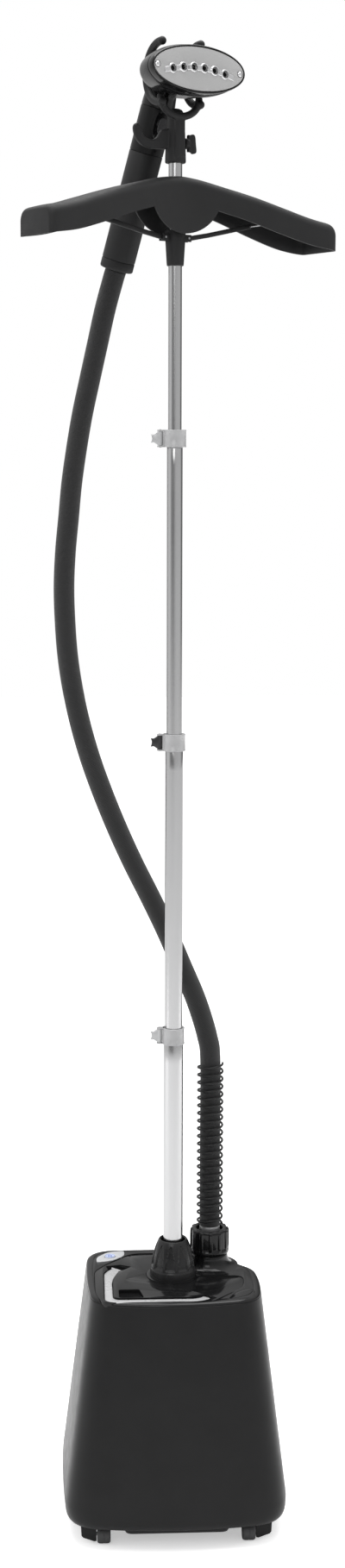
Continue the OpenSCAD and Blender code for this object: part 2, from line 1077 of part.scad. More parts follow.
module sole_screws() {
  color("silver")
    at_head()
      for (s = [-1, 1])
        translate([s * 53, -40, 0])
          rotate([90, 0, 0]) {
            cylinder(h = 3.4, r = 1.7);
            translate([0, 0, 3.4])
              cylinder(h = 1.2, r = 3.2);
          }
}

module handle_barrel() {
  color("black")
    at_handle()
      difference() {
        translate([0, 0, 137])
          cylinder(h = handle_len - 137.4, r = handle_r);
        translate([0, 0, 130])
          cylinder(h = 70, r = handle_r - 2.6);
        rotate([0, 0, -26])
          translate([handle_r - 1.4, -5, 153.5])
            cube([10, 10, 34]);
      }
}

module handle_grip() {
  color("dimgray")
    at_handle()
      difference() {
        translate([0, 0, 12])
          cylinder(h = 124.6, r = handle_r);
        translate([0, 0, 10])
          cylinder(h = 130, r = handle_r - 2.6);
      }
}

module handle_end() {
  color("dimgray")
    at_handle()
      difference() {
        union() {
          translate([0, 0, 0.4])
            cylinder(h = 1.8, r1 = handle_r - 1.6, r2 = handle_r);
          translate([0, 0, 2.2])
            cylinder(h = 9.4, r = handle_r);
        }
        translate([0, 0, -1])
          cylinder(h = 20, r = 10);
      }
}

module steam_slider() {
  color("gray")
    at_handle()
      rotate([0, 0, -26])
        translate([handle_r - 1.3, 0, 171])
          rotate([0, 90, 0])
            difference() {
              scale([2.1, 1, 1])
                cylinder(h = 3.2, r = 4.4);
              for (x = [-4, 0, 4])
                translate([x, 0, 4.6])
                  rotate([90, 0, 0])
                    cylinder(h = 12, r = 1.8, center = true);
            }
}

base_pan();
body_shell();
deck_cover();
control_leaf();
power_button();
pole_socket();
pole_collar();
tank_dock();
boiler();
heating_element();
water_pump();
circuit_board();
water_pipe();
steam_pipe();
hose_outlet();
hose_nut();
hose_spring();
steam_hose();
cord_gland();
base_screws();
tank_body();
tank_lid();
tank_cap();
bail();
castor_sockets();
fork_fl();
fork_fr();
fork_bl();
fork_br();
wheel_fl();
wheel_fr();
wheel_bl();
wheel_br();
tube_4();
tube_3();
tube_2();
tube_1();
band_3();
band_2();
band_1();
lever_3();
lever_2();
lever_1();
pin_3();
pin_2();
pin_1();
hanger_shell();
hanger_collar();
strut_left();
strut_right();
strut_pins();
holder();
thumb_screw();
head_shell();
sole_plate();
sole_screws();
handle_barrel();
handle_grip();
handle_end();
steam_slider();
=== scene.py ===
"""Looks of a free-standing garment steamer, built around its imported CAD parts.

Lengths are in millimetres in the tables below and in metres in Blender. The pole stands on
the Z axis, X is to the right, -Y is the front."""
import json
import math

import bmesh
import bpy
from mathutils import Matrix, Vector


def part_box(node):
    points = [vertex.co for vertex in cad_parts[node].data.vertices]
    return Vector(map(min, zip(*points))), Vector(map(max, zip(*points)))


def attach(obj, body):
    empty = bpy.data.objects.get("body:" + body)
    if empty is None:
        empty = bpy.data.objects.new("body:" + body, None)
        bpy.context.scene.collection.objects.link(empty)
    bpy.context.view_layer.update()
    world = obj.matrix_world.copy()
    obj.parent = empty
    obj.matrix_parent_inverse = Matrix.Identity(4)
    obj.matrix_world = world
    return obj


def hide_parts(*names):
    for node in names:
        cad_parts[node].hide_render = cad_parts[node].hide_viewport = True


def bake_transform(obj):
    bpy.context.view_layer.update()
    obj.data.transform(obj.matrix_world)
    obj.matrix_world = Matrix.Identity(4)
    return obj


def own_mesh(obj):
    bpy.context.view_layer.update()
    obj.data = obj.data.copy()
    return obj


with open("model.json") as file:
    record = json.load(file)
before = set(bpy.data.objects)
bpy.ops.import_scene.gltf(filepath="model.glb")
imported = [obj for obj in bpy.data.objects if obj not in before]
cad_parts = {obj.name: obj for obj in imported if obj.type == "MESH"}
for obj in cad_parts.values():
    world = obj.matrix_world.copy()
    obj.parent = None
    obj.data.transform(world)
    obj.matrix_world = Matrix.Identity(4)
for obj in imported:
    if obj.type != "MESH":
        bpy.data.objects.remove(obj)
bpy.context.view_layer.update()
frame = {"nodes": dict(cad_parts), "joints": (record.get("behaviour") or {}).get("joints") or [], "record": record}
MM = 0.001
SCENE = bpy.context.scene

# ---------------------------------------------------------------- sizes shared with the CAD
DECK = 300.0
BODY_LOW = 24.2
BOSS = (47.0, 30.0)
LEAF = (-75.8, 60.8, 42.0)
PIVOT_Z = 296.5
BAIL_A = (-66.0, 22.0)
BAIL_B = (37.0, -73.0)
TUBES = ((11.95, 60.1, 608.8), (10.55, 512.0, 965.8), (9.15, 869.0, 1320.8), (7.75, 1224.0, 1678.0))
TUBE_WALL = 1.1
CLAMPS = (602.0, 959.0, 1314.0)
HANGER_TURN = 31.0
HOLDER_TURN = 27.0
HEAD_Z = 1719.0
CRADLE = (25.0, -9.6, 1720.4, 33.0)
HANDLE_AT = (-66.0, 71.0, 1510.0)
HANDLE_TILT = (18.4, -37.2)
HANDLE_R = 19.6
HANDLE_LEN = 189.0
THUMB_SIDE = -26.0
HOSE_R = 12.5
HOSE_FREE = 1360.0
SPRING = (352.0, 559.5, 15.1, 1.45, 21)
WHEEL_R = 11.5

DECK_C = [(-100, -84, 30), (0, -101, 60), (101, -84, 30), (106, -25, 28),
          (101, 14, 11), (30, 87, 30), (-104, 86, 34), (-107, 0, 45)]
FOOT_C = [(-132, -116, 38), (0, -132, 80), (132, -116, 38), (137, -20, 48),
          (133, 42, 12), (52, 118, 34), (-134, 116, 44), (-138, 0, 70)]
LID_C = [(-88, -87, 10), (43, -88, 6), (57, -73, 8), (83, -46, 14), (86, -9, 14), (28, -9, 4),
         (0, 0, 8), (-12, 70, 12), (-50, 70, 14), (-82, 34, 10), (-96, 12, 10), (-96, -60, 14)]
LEAF_C = [(-26, -3, 5), (-8, -12.5, 9), (15, -11, 8), (26, 2, 6), (8, 12.5, 9), (-15, 9, 7)]
BAIL_C = [(-85, -86, 16), (28, -86, 8), (42, -78, 4), (37, -68, 4), (24, -75.5, 6),
          (-75.5, -75, 10), (-75.5, -10, 18), (-65, 19, 6), (-71, 27, 4), (-84, 14, 12)]
HOSE_PATH = [(47, 30, 352), (47, 30, 455), (47, 30, 560), (43, 32, 592), (30, 36, 635),
             (12, 41, 678), (-6, 46, 720), (-26, 50, 762), (-47, 54, 804), (-66, 58, 846),
             (-83, 62, 888), (-98, 66, 930), (-110, 70, 972), (-119, 73, 1014), (-125, 77, 1055),
             (-128, 80, 1097), (-129, 83, 1138), (-127, 85, 1180), (-123, 87, 1221),
             (-119, 88, 1262), (-113, 88, 1303), (-106, 87, 1343), (-97, 85, 1384),
             (-88, 83, 1424), (-79, 79, 1464), (-70, 74, 1497), (-66.2, 71.2, 1509.4)]
HANGER_TOP = [(0, 1608), (10, 1607.3), (28, 1604.5), (55, 1598), (90, 1589), (125, 1578.5),
              (155, 1569.5), (175, 1565), (190, 1563)]
HANGER_LOW = [(42, 1571), (75, 1562), (115, 1549), (155, 1537.5), (190, 1532)]
HANGER_WIDE = [(0, 39), (20, 40), (45, 44.5), (80, 55), (120, 63.5), (155, 69.5), (190, 74)]
HANGER_STRETCH = 1.03


# ---------------------------------------------------------------- camera
def rotation(degrees, axis):
    return Matrix.Rotation(math.radians(degrees), 4, axis)


def make_camera():
    data = bpy.data.cameras.new("camera")
    data.lens = 50.0
    data.sensor_width = 36.0
    data.clip_end = 60.0
    camera = bpy.data.objects.new("camera", data)
    SCENE.collection.objects.link(camera)
    camera.matrix_world = (
        Matrix.Translation((-0.1337, -2.5515, 1.3))
        @ rotation(-2.96, "Z")
        @ rotation(81.3, "X")
        @ rotation(0.13, "Z")
    )
    SCENE.camera = camera


make_camera()


# ---------------------------------------------------------------- node materials
def nodes_of(name):
    material = bpy.data.materials.new(name)
    material.use_nodes = True
    tree = material.node_tree
    shader = tree.nodes["Principled BSDF"]
    return material, tree, shader


def put(tree, kind, inputs=None, **settings):
    node = tree.nodes.new("ShaderNode" + kind)
    for key, value in settings.items():
        setattr(node, key, value)
    for key, value in (inputs or {}).items():
        if isinstance(value, bpy.types.NodeSocket):
            tree.links.new(value, node.inputs[key])
        else:
            node.inputs[key].default_value = value
    return node


def shade(colour, k):
    return tuple(min(1.0, c * k) for c in colour) + (1.0,)


def noise(tree, vector, scale, detail=3.0):
    node = put(tree, "TexNoise", {"Vector": vector, "Scale": scale, "Detail": detail,
                                  "Roughness": 0.55})
    return node.outputs["Fac"]


def stretched(tree, vector, scale):
    return put(tree, "Mapping", {"Vector": vector, "Scale": scale}).outputs["Vector"]


def ranged(tree, value, low, high, a=0.0, b=1.0):
    node = put(tree, "MapRange", {"Value": value, "From Min": a, "From Max": b, "To Min": low,
                                  "To Max": high})
    return node.outputs["Result"]


def blended(tree, factor, first, second):
    node = put(tree, "Mix", data_type="RGBA")
    ends = [s for s in node.inputs if s.type == "RGBA"]
    for socket, value in zip(ends, (first, second)):
        if isinstance(value, bpy.types.NodeSocket):
            tree.links.new(value, socket)
        else:
            socket.default_value = value
    if isinstance(factor, bpy.types.NodeSocket):
        tree.links.new(factor, node.inputs[0])
    else:
        node.inputs[0].default_value = factor
    return [s for s in node.outputs if s.type == "RGBA"][0]


def maths(tree, operation, a, b=0.0):
    node = tree.nodes.new("ShaderNodeMath")
    node.operation = operation
    for socket, value in zip(node.inputs, (a, b)):
        if isinstance(value, bpy.types.NodeSocket):
            tree.links.new(value, socket)
        else:
            socket.default_value = value
    return node.outputs[0]


def bumped(tree, shader, height, distance):
    node = put(tree, "Bump", {"Height": height, "Distance": distance, "Strength": 1.0})
    tree.links.new(node.outputs["Normal"], shader.inputs["Normal"])


def moulded(name, colour, rough, grain=0.03, grain_size=1500.0, specular=0.5, coat=0.0,
            tone=0.1, spread=0.06, metal=0.0, scuffs=0.0):
    """Moulded plastic or cast metal: slight tone drift, textured gloss, grain and fine scuffs."""
    material, tree, shader = nodes_of(name)
    where = put(tree, "TexCoord").outputs["Object"]
    drift = noise(tree, where, 22.0, 4.0)
    speck = noise(tree, where, grain_size, 2.0)
    colour_out = blended(tree, ranged(tree, drift, 0.0, 1.0, 0.3, 0.7),
                         shade(colour, 1 - tone), shade(colour, 1 + tone))
    colour_out = blended(tree, ranged(tree, speck, 0.0, 0.25, 0.5, 0.8), colour_out,
                         shade(colour, 1.25))
    tree.links.new(colour_out, shader.inputs["Base Color"])
    cloud = noise(tree, where, 60.0, 5.0)
    gloss = ranged(tree, cloud, rough - spread, rough + spread, 0.3, 0.7)
    height = speck
    if scuffs:
        line = noise(tree, stretched(tree, where, (40.0, 900.0, 300.0)), 3.0, 2.0)
        line = ranged(tree, line, 0.0, 1.0, 0.62, 0.74)
        gloss = maths(tree, "ADD", gloss, maths(tree, "MULTIPLY", line, scuffs))
    tree.links.new(gloss, shader.inputs["Roughness"])
    bumped(tree, shader, height, grain * MM)
    shader.inputs["Specular IOR Level"].default_value = specular
    shader.inputs["Metallic"].default_value = metal
    shader.inputs["Coat Weight"].default_value = coat
    shader.inputs["Coat Roughness"].default_value = 0.06
    return material


def drawn_metal(name, colour, rough, along=(900.0, 900.0, 5.0), lines=0.02, tone=0.05,
                spread=0.04):
    """Metal with fine lines along its length, cloudy gloss and faint marks."""
    material, tree, shader = nodes_of(name)
    where = put(tree, "TexCoord").outputs["Object"]
    grain = noise(tree, stretched(tree, where, along), 1.0, 3.0)
    cloud = noise(tree, where, 14.0, 4.0)
    tone_in = blended(tree, ranged(tree, grain, 0.0, 1.0, 0.35, 0.65),
                      shade(colour, 1 - tone), shade(colour, 1 + tone))
    tree.links.new(tone_in, shader.inputs["Base Color"])
    gloss = ranged(tree, grain, rough - spread, rough + spread, 0.35, 0.65)
    gloss = maths(tree, "ADD", gloss, ranged(tree, cloud, -spread, spread, 0.3, 0.7))
    tree.links.new(gloss, shader.inputs["Roughness"])
    bumped(tree, shader, grain, lines * MM)
    shader.inputs["Metallic"].default_value = 1.0
    return material


def braided(name, colour):
    """A braided sleeve over a hose: two sets of diagonal strands, from the tube's own UVs, with painted shade in
    the gaps between strands and a painted highlight on their crests.
    """
    material, tree, shader = nodes_of(name)
    where = put(tree, "UVMap", uv_map="along").outputs["UV"]
    strands = []
    for turn in (38.0, -38.0):
        lean = put(tree, "Mapping", {"Vector": where,
                                     "Rotation": (0.0, 0.0, math.radians(turn))})
        wave = put(tree, "TexWave", {"Vector": lean.outputs["Vector"], "Scale": 0.17,
                                     "Distortion": 0.35, "Detail": 1.0, "Detail Scale": 3.0},
                   bands_direction="X")
        strands.append(wave.outputs["Fac"])
    weave_and_shade = maths(tree, "MAXIMUM", strands[0], strands[1])
    checker = maths(tree, "MULTIPLY", strands[0], strands[1])
    weave_and_shade = maths(tree, "SUBTRACT", weave_and_shade, maths(tree, "MULTIPLY", checker, 0.55))
    object_at = put(tree, "TexCoord").outputs["Object"]
    fuzz = noise(tree, object_at, 2600.0, 2.0)
    patch = noise(tree, object_at, 35.0, 3.0)
    # Painted shade and highlight: the colour is darker in the gaps between strands and lighter on the strand
    # crests.
    colour_out = blended(tree, weave_and_shade, shade(colour, 0.35), shade(colour, 1.5))
    colour_out = blended(tree, ranged(tree, fuzz, 0.0, 0.5, 0.55, 0.8), colour_out,
                         shade(colour, 2.6))
    colour_out = blended(tree, ranged(tree, patch, 0.0, 0.25, 0.4, 0.7), colour_out,
                         shade(colour, 0.7))
    tree.links.new(colour_out, shader.inputs["Base Color"])
    tree.links.new(ranged(tree, weave_and_shade, 0.82, 0.62), shader.inputs["Roughness"])
    height = maths(tree, "ADD", weave_and_shade, maths(tree, "MULTIPLY", fuzz, 0.25))
    bumped(tree, shader, height, 0.45 * MM)
    shader.inputs["Specular IOR Level"].default_value = 0.35
    shader.inputs["Sheen Weight"].default_value = 0.15
    shader.inputs["Sheen Roughness"].default_value = 0.5
    return material


def dotted(name, colour, rough):
    """A pale printed panel: soft gloss, fine orange-peel and a faint speckle."""
    return moulded(name, colour, rough, grain=0.012, grain_size=700.0, tone=0.03, spread=0.04,
                   specular=0.5, coat=0.3)


PAINT = {
    "black_satin": moulded("satin_black", (0.0095, 0.0095, 0.0098), 0.32, grain=0.008,
                           grain_size=1100.0, specular=0.18, spread=0.04, scuffs=0.08),
    "black_gloss": moulded("gloss_black", (0.006, 0.006, 0.0063), 0.12, grain=0.003,
                           grain_size=500.0, specular=0.32, spread=0.035, scuffs=0.08),
    "dark_grey": moulded("dark_grey_plastic", (0.045, 0.045, 0.047), 0.5, grain=0.05),
    "charcoal": moulded("charcoal_plastic", (0.0165, 0.0165, 0.017), 0.5, grain=0.03,
                        grain_size=1900.0, specular=0.22, tone=0.06),
    "white_panel": dotted("white_panel", (0.47, 0.475, 0.485), 0.3),
    "blue_button": dotted("pale_button", (0.6, 0.66, 0.78), 0.25),
    "pole_aluminium": drawn_metal("pole_aluminium", (0.55, 0.55, 0.555), 0.2, lines=0.0015,
                                  tone=0.015, spread=0.015),
    "band_grey": moulded("band_grey", (0.36, 0.36, 0.365), 0.24, grain=0.01, tone=0.05,
                         specular=0.6, coat=0.3),
    "clear_lever": moulded("clear_lever", (0.44, 0.445, 0.45), 0.2, grain=0.01, tone=0.05,
                           specular=0.6, coat=0.4),
    "black_lever": moulded("black_lever", (0.02, 0.02, 0.021), 0.25, grain=0.01),
    "silver_bail": moulded("silver_bail", (0.5, 0.5, 0.505), 0.3, grain=0.01, metal=0.25,
                           tone=0.04, specular=0.6),
    "steel": drawn_metal("brushed_steel", (0.42, 0.42, 0.43), 0.32, (700.0, 700.0, 700.0)),
    "spring_black": moulded("spring_black", (0.008, 0.008, 0.0083), 0.3, grain=0.02, specular=0.3),
    "boiler_alu": moulded("boiler_aluminium", (0.5, 0.5, 0.505), 0.45, grain=0.12,
                          grain_size=700.0, metal=0.9),
    "hose_braid": braided("hose_braid", (0.012, 0.012, 0.0124)),
    "tank_smoke": moulded("smoked_tank", (0.05, 0.055, 0.06), 0.2, grain=0.01, specular=0.6),
    "silicone": moulded("silicone", (0.55, 0.55, 0.53), 0.55, grain=0.03),
    "roller_rubber": moulded("roller_rubber", (0.035, 0.035, 0.036), 0.6, grain=0.06,
                             grain_size=900.0),
    "board_green": moulded("board_green", (0.03, 0.16, 0.06), 0.35, grain=0.02),
    "sole_grey": moulded("sole_grey", (0.42, 0.42, 0.42), 0.36, grain=0.02, metal=0.35,
                         tone=0.03, spread=0.05),
    "screw_chrome": drawn_metal("screw_chrome", (0.75, 0.75, 0.76), 0.12, (500.0, 500.0, 500.0)),
}
INK = moulded("blue_ink", (0.16, 0.21, 0.52), 0.3, grain=0.005, tone=0.08)
# Near-black used as painted shade in the sole's holes and the handle's seam gaps, and as the lock mark's own
# printed colour.
SHADE_AND_MARK_BLACK = moulded("hollow_shade_and_mark_black", (0.004, 0.004, 0.0042), 0.7, grain=0.03, specular=0.15)


# ---------------------------------------------------------------- mesh tools
def solid(name, points, faces):
    data = bpy.data.meshes.new(name)
    data.from_pydata([Vector(p) * MM for p in points], [], faces)
    data.validate()
    obj = bpy.data.objects.new(name, data)
    SCENE.collection.objects.link(obj)
    tidy_normals(obj)
    return obj


def tidy_normals(obj):
    """Joins points that touch and turns every face outward."""
    mesh = bmesh.new()
    mesh.from_mesh(obj.data)
    bmesh.ops.remove_doubles(mesh, verts=mesh.verts, dist=1e-6)
    bmesh.ops.recalc_face_normals(mesh, faces=mesh.faces)
    mesh.to_mesh(obj.data)
    mesh.free()


def loft(name, rings, caps=True, around=False):
    """Skin through rings of points; around joins the last ring to the first."""
    n = len(rings[0])
    m = len(rings)
    points = [p for ring in rings for p in ring]
    faces = []
    for k in range(m if around else m - 1):
        j = (k + 1) % m
        for i in range(n):
            h = (i + 1) % n
            faces.append((k * n + i, j * n + i, j * n + h, k * n + h))
    if caps and not around:
        faces.append(tuple(range(n)))
        faces.append(tuple((m - 1) * n + i for i in range(n)))
    return solid(name, points, faces)


def lathe(name, profile, steps=96, centre=(0.0, 0.0), around=True):
    """A profile of (radius, height) turned about a vertical line."""
    rings = []
    for r, z in profile:
        rings.append([(centre[0] + r * math.cos(math.tau * i / steps),
                       centre[1] + r * math.sin(math.tau * i / steps), z) for i in range(steps)])
    return loft(name, rings, caps=False, around=around)


def outline(corners, n=12):
    """Closed outline with each corner (x, y, length) rounded over that length."""
    points = []
    k = len(corners)
    for i, (x, y, cut_back) in enumerate(corners):
        p = Vector((x, y))
        ends = []
        for other in (corners[i - 1], corners[(i + 1) % k]):
            way = Vector(other[:2]) - p
            ends.append(p + way.normalized() * cut_back)
        for j in range(n + 1):
            s = j / n
            points.append((1 - s) ** 2 * ends[0] + 2 * s * (1 - s) * p + s * s * ends[1])
    return points


def grown(points, distance):
    """The outline moved outwards along its corner normals."""
    result = []
    k = len(points)
    for i, p in enumerate(points):
        way = points[(i + 1) % k] - points[i - 1]
        result.append(p + Vector((way.y, -way.x)).normalized() * distance)
    return result


def prism(name, points, low, high):
    flat = [(p[0], p[1]) for p in points]
    return loft(name, [[(x, y, low) for x, y in flat], [(x, y, high) for x, y in flat]])


def rod(name, radius, low, high, centre=(0.0, 0.0), steps=64):
    return loft(name, [[(centre[0] + radius * math.cos(math.tau * i / steps),
                         centre[1] + radius * math.sin(math.tau * i / steps), z)
                        for i in range(steps)] for z in (low, high)])


def block(name, low, high):
    (a, b, c), (d, e, f) = low, high
    return loft(name, [[(a, b, z), (d, b, z), (d, e, z), (a, e, z)] for z in (c, f)])


def bake_modifiers(obj):
    graph = bpy.context.evaluated_depsgraph_get()
    graph.update()
    new = bpy.data.meshes.new_from_object(obj.evaluated_get(graph), depsgraph=graph)
    obj.modifiers.clear()
    old = obj.data
    obj.data = new
    bpy.data.meshes.remove(old)
    return obj


def carve(obj, *cutters, operation="DIFFERENCE"):
    for cutter in cutters:
        step = obj.modifiers.new("carve", "BOOLEAN")
        step.object = cutter
        step.operation = operation
        step.solver = "EXACT"
        bake_modifiers(obj)
        bpy.data.objects.remove(cutter)
    return obj


def soften(obj, width, segments=2, angle=38.0):
    step = obj.modifiers.new("soften", "BEVEL")
    step.width = width * MM
    step.segments = segments
    step.limit_method = "ANGLE"
    step.angle_limit = math.radians(angle)
    step.miter_outer = "MITER_ARC"
    return bake_modifiers(obj)


def merged(name, parts):
    """One mesh of several, each kept as its own shell."""
    mesh = bmesh.new()
    for part in parts:
        part.data.transform(part.matrix_world)
        mesh.from_mesh(part.data)
    data = bpy.data.meshes.new(name)
    mesh.to_mesh(data)
    mesh.free()
    for part in parts:
        bpy.data.objects.remove(part)
    obj = bpy.data.objects.new(name, data)
    SCENE.collection.objects.link(obj)
    return obj


def fused(name, parts, voxel, rounds=6):
    """Overlapping solids melted into one skin with small fillets."""
    obj = merged(name, parts)
    step = obj.modifiers.new("fuse", "REMESH")
    step.mode = "VOXEL"
    step.voxel_size = voxel * MM
    bake_modifiers(obj)
    ease = obj.modifiers.new("ease", "SMOOTH")
    ease.factor = 0.5
    ease.iterations = rounds
    return bake_modifiers(obj)


def moved(obj, matrix):
    obj.data.transform(matrix)
    return obj


def curve_through(points, steps):
    """Smooth curve through points, with steps samples between neighbours."""
    pts = [Vector(p) for p in points]
    result = []
    for i in range(len(pts) - 1):
        a, b = pts[max(0, i - 1)], pts[i]
        c, d = pts[i + 1], pts[min(len(pts) - 1, i + 2)]
        for j in range(steps):
            s = j / steps
            result.append(b + 0.5 * s * (c - a + s * (2 * a - 5 * b + 4 * c - d
                                                      + s * (3 * (b - c) + d - a))))
    return result + [pts[-1]]


def frames_along(path, first=None):
    """Tangent and two cross directions at each point, turned as little as possible."""
    tangents = []
    for i in range(len(path)):
        tangents.append((path[min(len(path) - 1, i + 1)] - path[max(0, i - 1)]).normalized())
    side = first or Vector((0, 1, 0)).cross(tangents[0])
    if side.length < 1e-3:
        side = Vector((1, 0, 0)).cross(tangents[0])
    result = []
    for t in tangents:
        side = (side - t * side.dot(t)).normalized()
        result.append((t, side, t.cross(side)))
    return result


def ring_at(centre, frame_here, radius, sides):
    _, u, v = frame_here
    return [centre + radius * (math.cos(math.tau * i / sides) * u
                               + math.sin(math.tau * i / sides) * v) for i in range(sides)]


def rounded_rod(name, path, radius, end_radius=None):
    """A round bar along a path with ball ends."""
    sides = 24
    path = [Vector(p) for p in path]
    frames = frames_along(path)
    ball = end_radius or radius
    rings = []
    for k in range(7):
        a = math.pi / 2 * (1 - k / 6)
        centre = path[0] - frames[0][0] * ball * math.sin(a)
        rings.append(ring_at(centre, frames[0], max(0.05, ball * math.cos(a)), sides))
    rings += [ring_at(p, f, radius, sides) for p, f in zip(path[1:-1], frames[1:-1])]
    for k in range(7):
        a = math.pi / 2 * k / 6
        centre = path[-1] + frames[-1][0] * ball * math.sin(a)
        rings.append(ring_at(centre, frames[-1], max(0.05, ball * math.cos(a)), sides))
    return loft(name, rings)


def eased(table, x):
    """Smooth value of a table of (x, value), without corners at its points."""
    xs = [p[0] for p in table]
    i = max(0, min(len(xs) - 2, sum(1 for v in xs if v <= x) - 1))
    ys = [p[1] for p in table]

    def slope(j):
        a, b = max(0, j - 1), min(len(xs) - 1, j + 1)
        return (ys[b] - ys[a]) / (xs[b] - xs[a])

    h = xs[i + 1] - xs[i]
    s = max(0.0, min(1.0, (x - xs[i]) / h))
    return ((2 * s ** 3 - 3 * s ** 2 + 1) * ys[i] + (s ** 3 - 2 * s ** 2 + s) * h * slope(i)
            + (-2 * s ** 3 + 3 * s ** 2) * ys[i + 1] + (s ** 3 - s ** 2) * h * slope(i + 1))


def finish_piece(obj, body, slot, stands_for=(), angle=35.0, material=None):
    obj.data.materials.clear()
    obj.data.materials.append(material or PAINT[slot])
    obj.data.shade_smooth()
    obj.data.set_sharp_from_angle(angle=math.radians(angle))
    if body:
        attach(obj, body)
    if stands_for:
        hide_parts(*stands_for)
    return obj


# ---------------------------------------------------------------- hose and its spring
def hose_samples():
    return curve_through(HOSE_PATH, 8)


def uv_along(obj, radius, lengths, sides):
    """UVs in millimetres: across the skin and along it."""
    layer = obj.data.uv_layers.new(name="along")
    turn = math.tau * radius
    for face in obj.data.polygons:
        if face.loop_total != 4:
            continue
        index = [obj.data.loops[k].vertex_index for k in face.loop_indices]
        columns = [v % sides for v in index]
        wraps = max(columns) - min(columns) > 1
        for k, v in zip(face.loop_indices, index):
            column = v % sides
            if wraps and column == 0:
                column = sides
            layer.data[k].uv = (column / sides * turn, lengths[v // sides])


def hose_part(name, path, frames, start, stop, lengths, caps):
    sides = 40
    rings = [ring_at(path[i], frames[i], HOSE_R, sides) for i in range(start, stop + 1)]
    n = len(rings)
    points = [p for ring in rings for p in ring]
    faces = [(k * sides + i, k * sides + (i + 1) % sides, (k + 1) * sides + (i + 1) % sides,
              (k + 1) * sides + i) for k in range(n - 1) for i in range(sides)]
    data = bpy.data.meshes.new(name)
    data.from_pydata([Vector(p) * MM for p in points], [], faces)
    obj = bpy.data.objects.new(name, data)
    SCENE.collection.objects.link(obj)
    uv_along(obj, HOSE_R, lengths[start:stop + 1], sides)
    mesh = bmesh.new()
    mesh.from_mesh(data)
    mesh.verts.ensure_lookup_table()
    if caps[0]:
        mesh.faces.new([mesh.verts[i] for i in reversed(range(sides))])
    if caps[1]:
        mesh.faces.new([mesh.verts[(n - 1) * sides + i] for i in range(sides)])
    mesh.to_mesh(data)
    mesh.free()
    return obj


def joint_reach(name):
    joint = [j for j in frame["joints"] if j["name"] == name][0]
    return max(abs(v) for v in joint["range_m"]) / MM


def make_hose():
    path = hose_samples()
    frames = frames_along(path)
    lengths = [0.0]
    for a, b in zip(path, path[1:]):
        lengths.append(lengths[-1] + (b - a).length)
    reach = [joint_reach(n) for n in ("pole_low_slide", "pole_mid_slide", "pole_top_slide")]
    low = path[0].z
    share = (HOSE_FREE - low) / sum(reach)
    marks = [0]
    level = low
    for r in reach:
        level += r * share
        marks.append(min(range(len(path)), key=lambda i: abs(path[i].z - level)))
    marks.append(len(path) - 1)
    bodies = ("base", "pole_low", "pole_mid", None)
    joints = ("pole_low_slide", "pole_mid_slide", "pole_top_slide", None)
    pieces = []
    for k in range(4):
        a, b = marks[k], marks[k + 1]
        obj = hose_part("hose_%d" % (k + 1), path, frames, a, b, lengths, (k == 0, k == 3))
        finish_piece(obj, bodies[k], "hose_braid", ("steam_hose",), angle=60.0)
        if joints[k]:
            keep = 1 - reach[k] / (path[b].z - path[a].z)
            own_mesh(obj)
            if k == 0:
                spring_keep = keep
        else:
            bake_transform(obj)
        pieces.append(obj)
    return pieces, spring_keep, lengths[-1] * MM


def make_spring():
    low, high, radius, wire, turns = SPRING
    per_turn = 28
    total = turns * per_turn
    path = []
    for k in range(total + 1):
        s = k / total
        flat = 0.7 / turns
        rise = s
        if s < flat:
            rise = s * s / (2 * flat) + flat / 2 * 0.25
        angle = math.tau * turns * s
        z = low + wire + (high - low - 2 * wire) * (rise if s >= flat else s * 0.9)
        path.append(Vector((BOSS[0] + radius * math.cos(angle),
                            BOSS[1] + radius * math.sin(angle), z)))
    frames = frames_along(path, Vector((0, 0, 1)))
    rings = []
    for p, f in zip(path, frames):
        out = Vector((p.x - BOSS[0], p.y - BOSS[1], 0)).normalized()
        rings.append(ring_at(p, (f[0], out, f[0].cross(out)), wire, 8))
    obj = loft("hose_coil", rings)
    finish_piece(obj, "base", "spring_black", ("hose_spring",), angle=60.0)
    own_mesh(obj)
    return obj


hose_pieces, coil_keep, hose_length = make_hose()
make_spring()


# ---------------------------------------------------------------- base
def base_ring(z, inset, n=12):
    f = max(0.0, min(1.0, (z - 50) / (DECK - 50)))
    kx = 1 - inset / (137 + (106 - 137) * f)
    ky = 1 - inset / (125 + (94 - 125) * f)
    corners = [tuple(a + (b - a) * f for a, b in zip(p, q)) for p, q in zip(FOOT_C, DECK_C)]
    return [(p.x * kx, p.y * ky, z) for p in outline(corners, n)]


def make_body():
    low = BODY_LOW
    outer = [(low, 11.4), (low + 0.3, 9.4), (low + 0.9, 7.6), (low + 1.9, 5.9), (low + 3.4, 4.2),
             (low + 5.4, 2.8), (low + 8.2, 1.6), (low + 12, 0.8), (low + 17, 0.3), (low + 26, 0),
             (80, 0), (120, 0), (160, 0), (200, 0), (240, 0), (270, 0), (290, 0), (295.2, 0),
             (295.7, 0.5)]
    inner = [(295.7, 2.6), (290, 3), (240, 3), (160, 3), (80, 3), (low + 26, 3), (low + 10, 5.4),
             (low + 4.4, 8), (low + 1.4, 11), (low + 0.6, 13.4)]
    obj = loft("body_skin", [base_ring(z, i) for z, i in outer + inner], around=True)
    inlet = rod("inlet_hole", 8.3, -130, -90, (0, 0))
    moved(inlet, Matrix.Translation((-0.07, 0, 0.052)) @ rotation(90, "X"))
    carve(obj, inlet)
    finish_piece(obj, "base", "black_satin", ("body_shell",), angle=30.0)


def lid_solid(name, low, high, grow, ring):
    obj = prism(name, grown(outline(LID_C, 12), grow), low, high)
    return carve(obj, rod("ring_cut", ring, low - 2, high + 2, steps=96))


def leaf_matrix():
    return Matrix.Translation((LEAF[0] * MM, LEAF[1] * MM, 0)) @ rotation(LEAF[2], "Z")


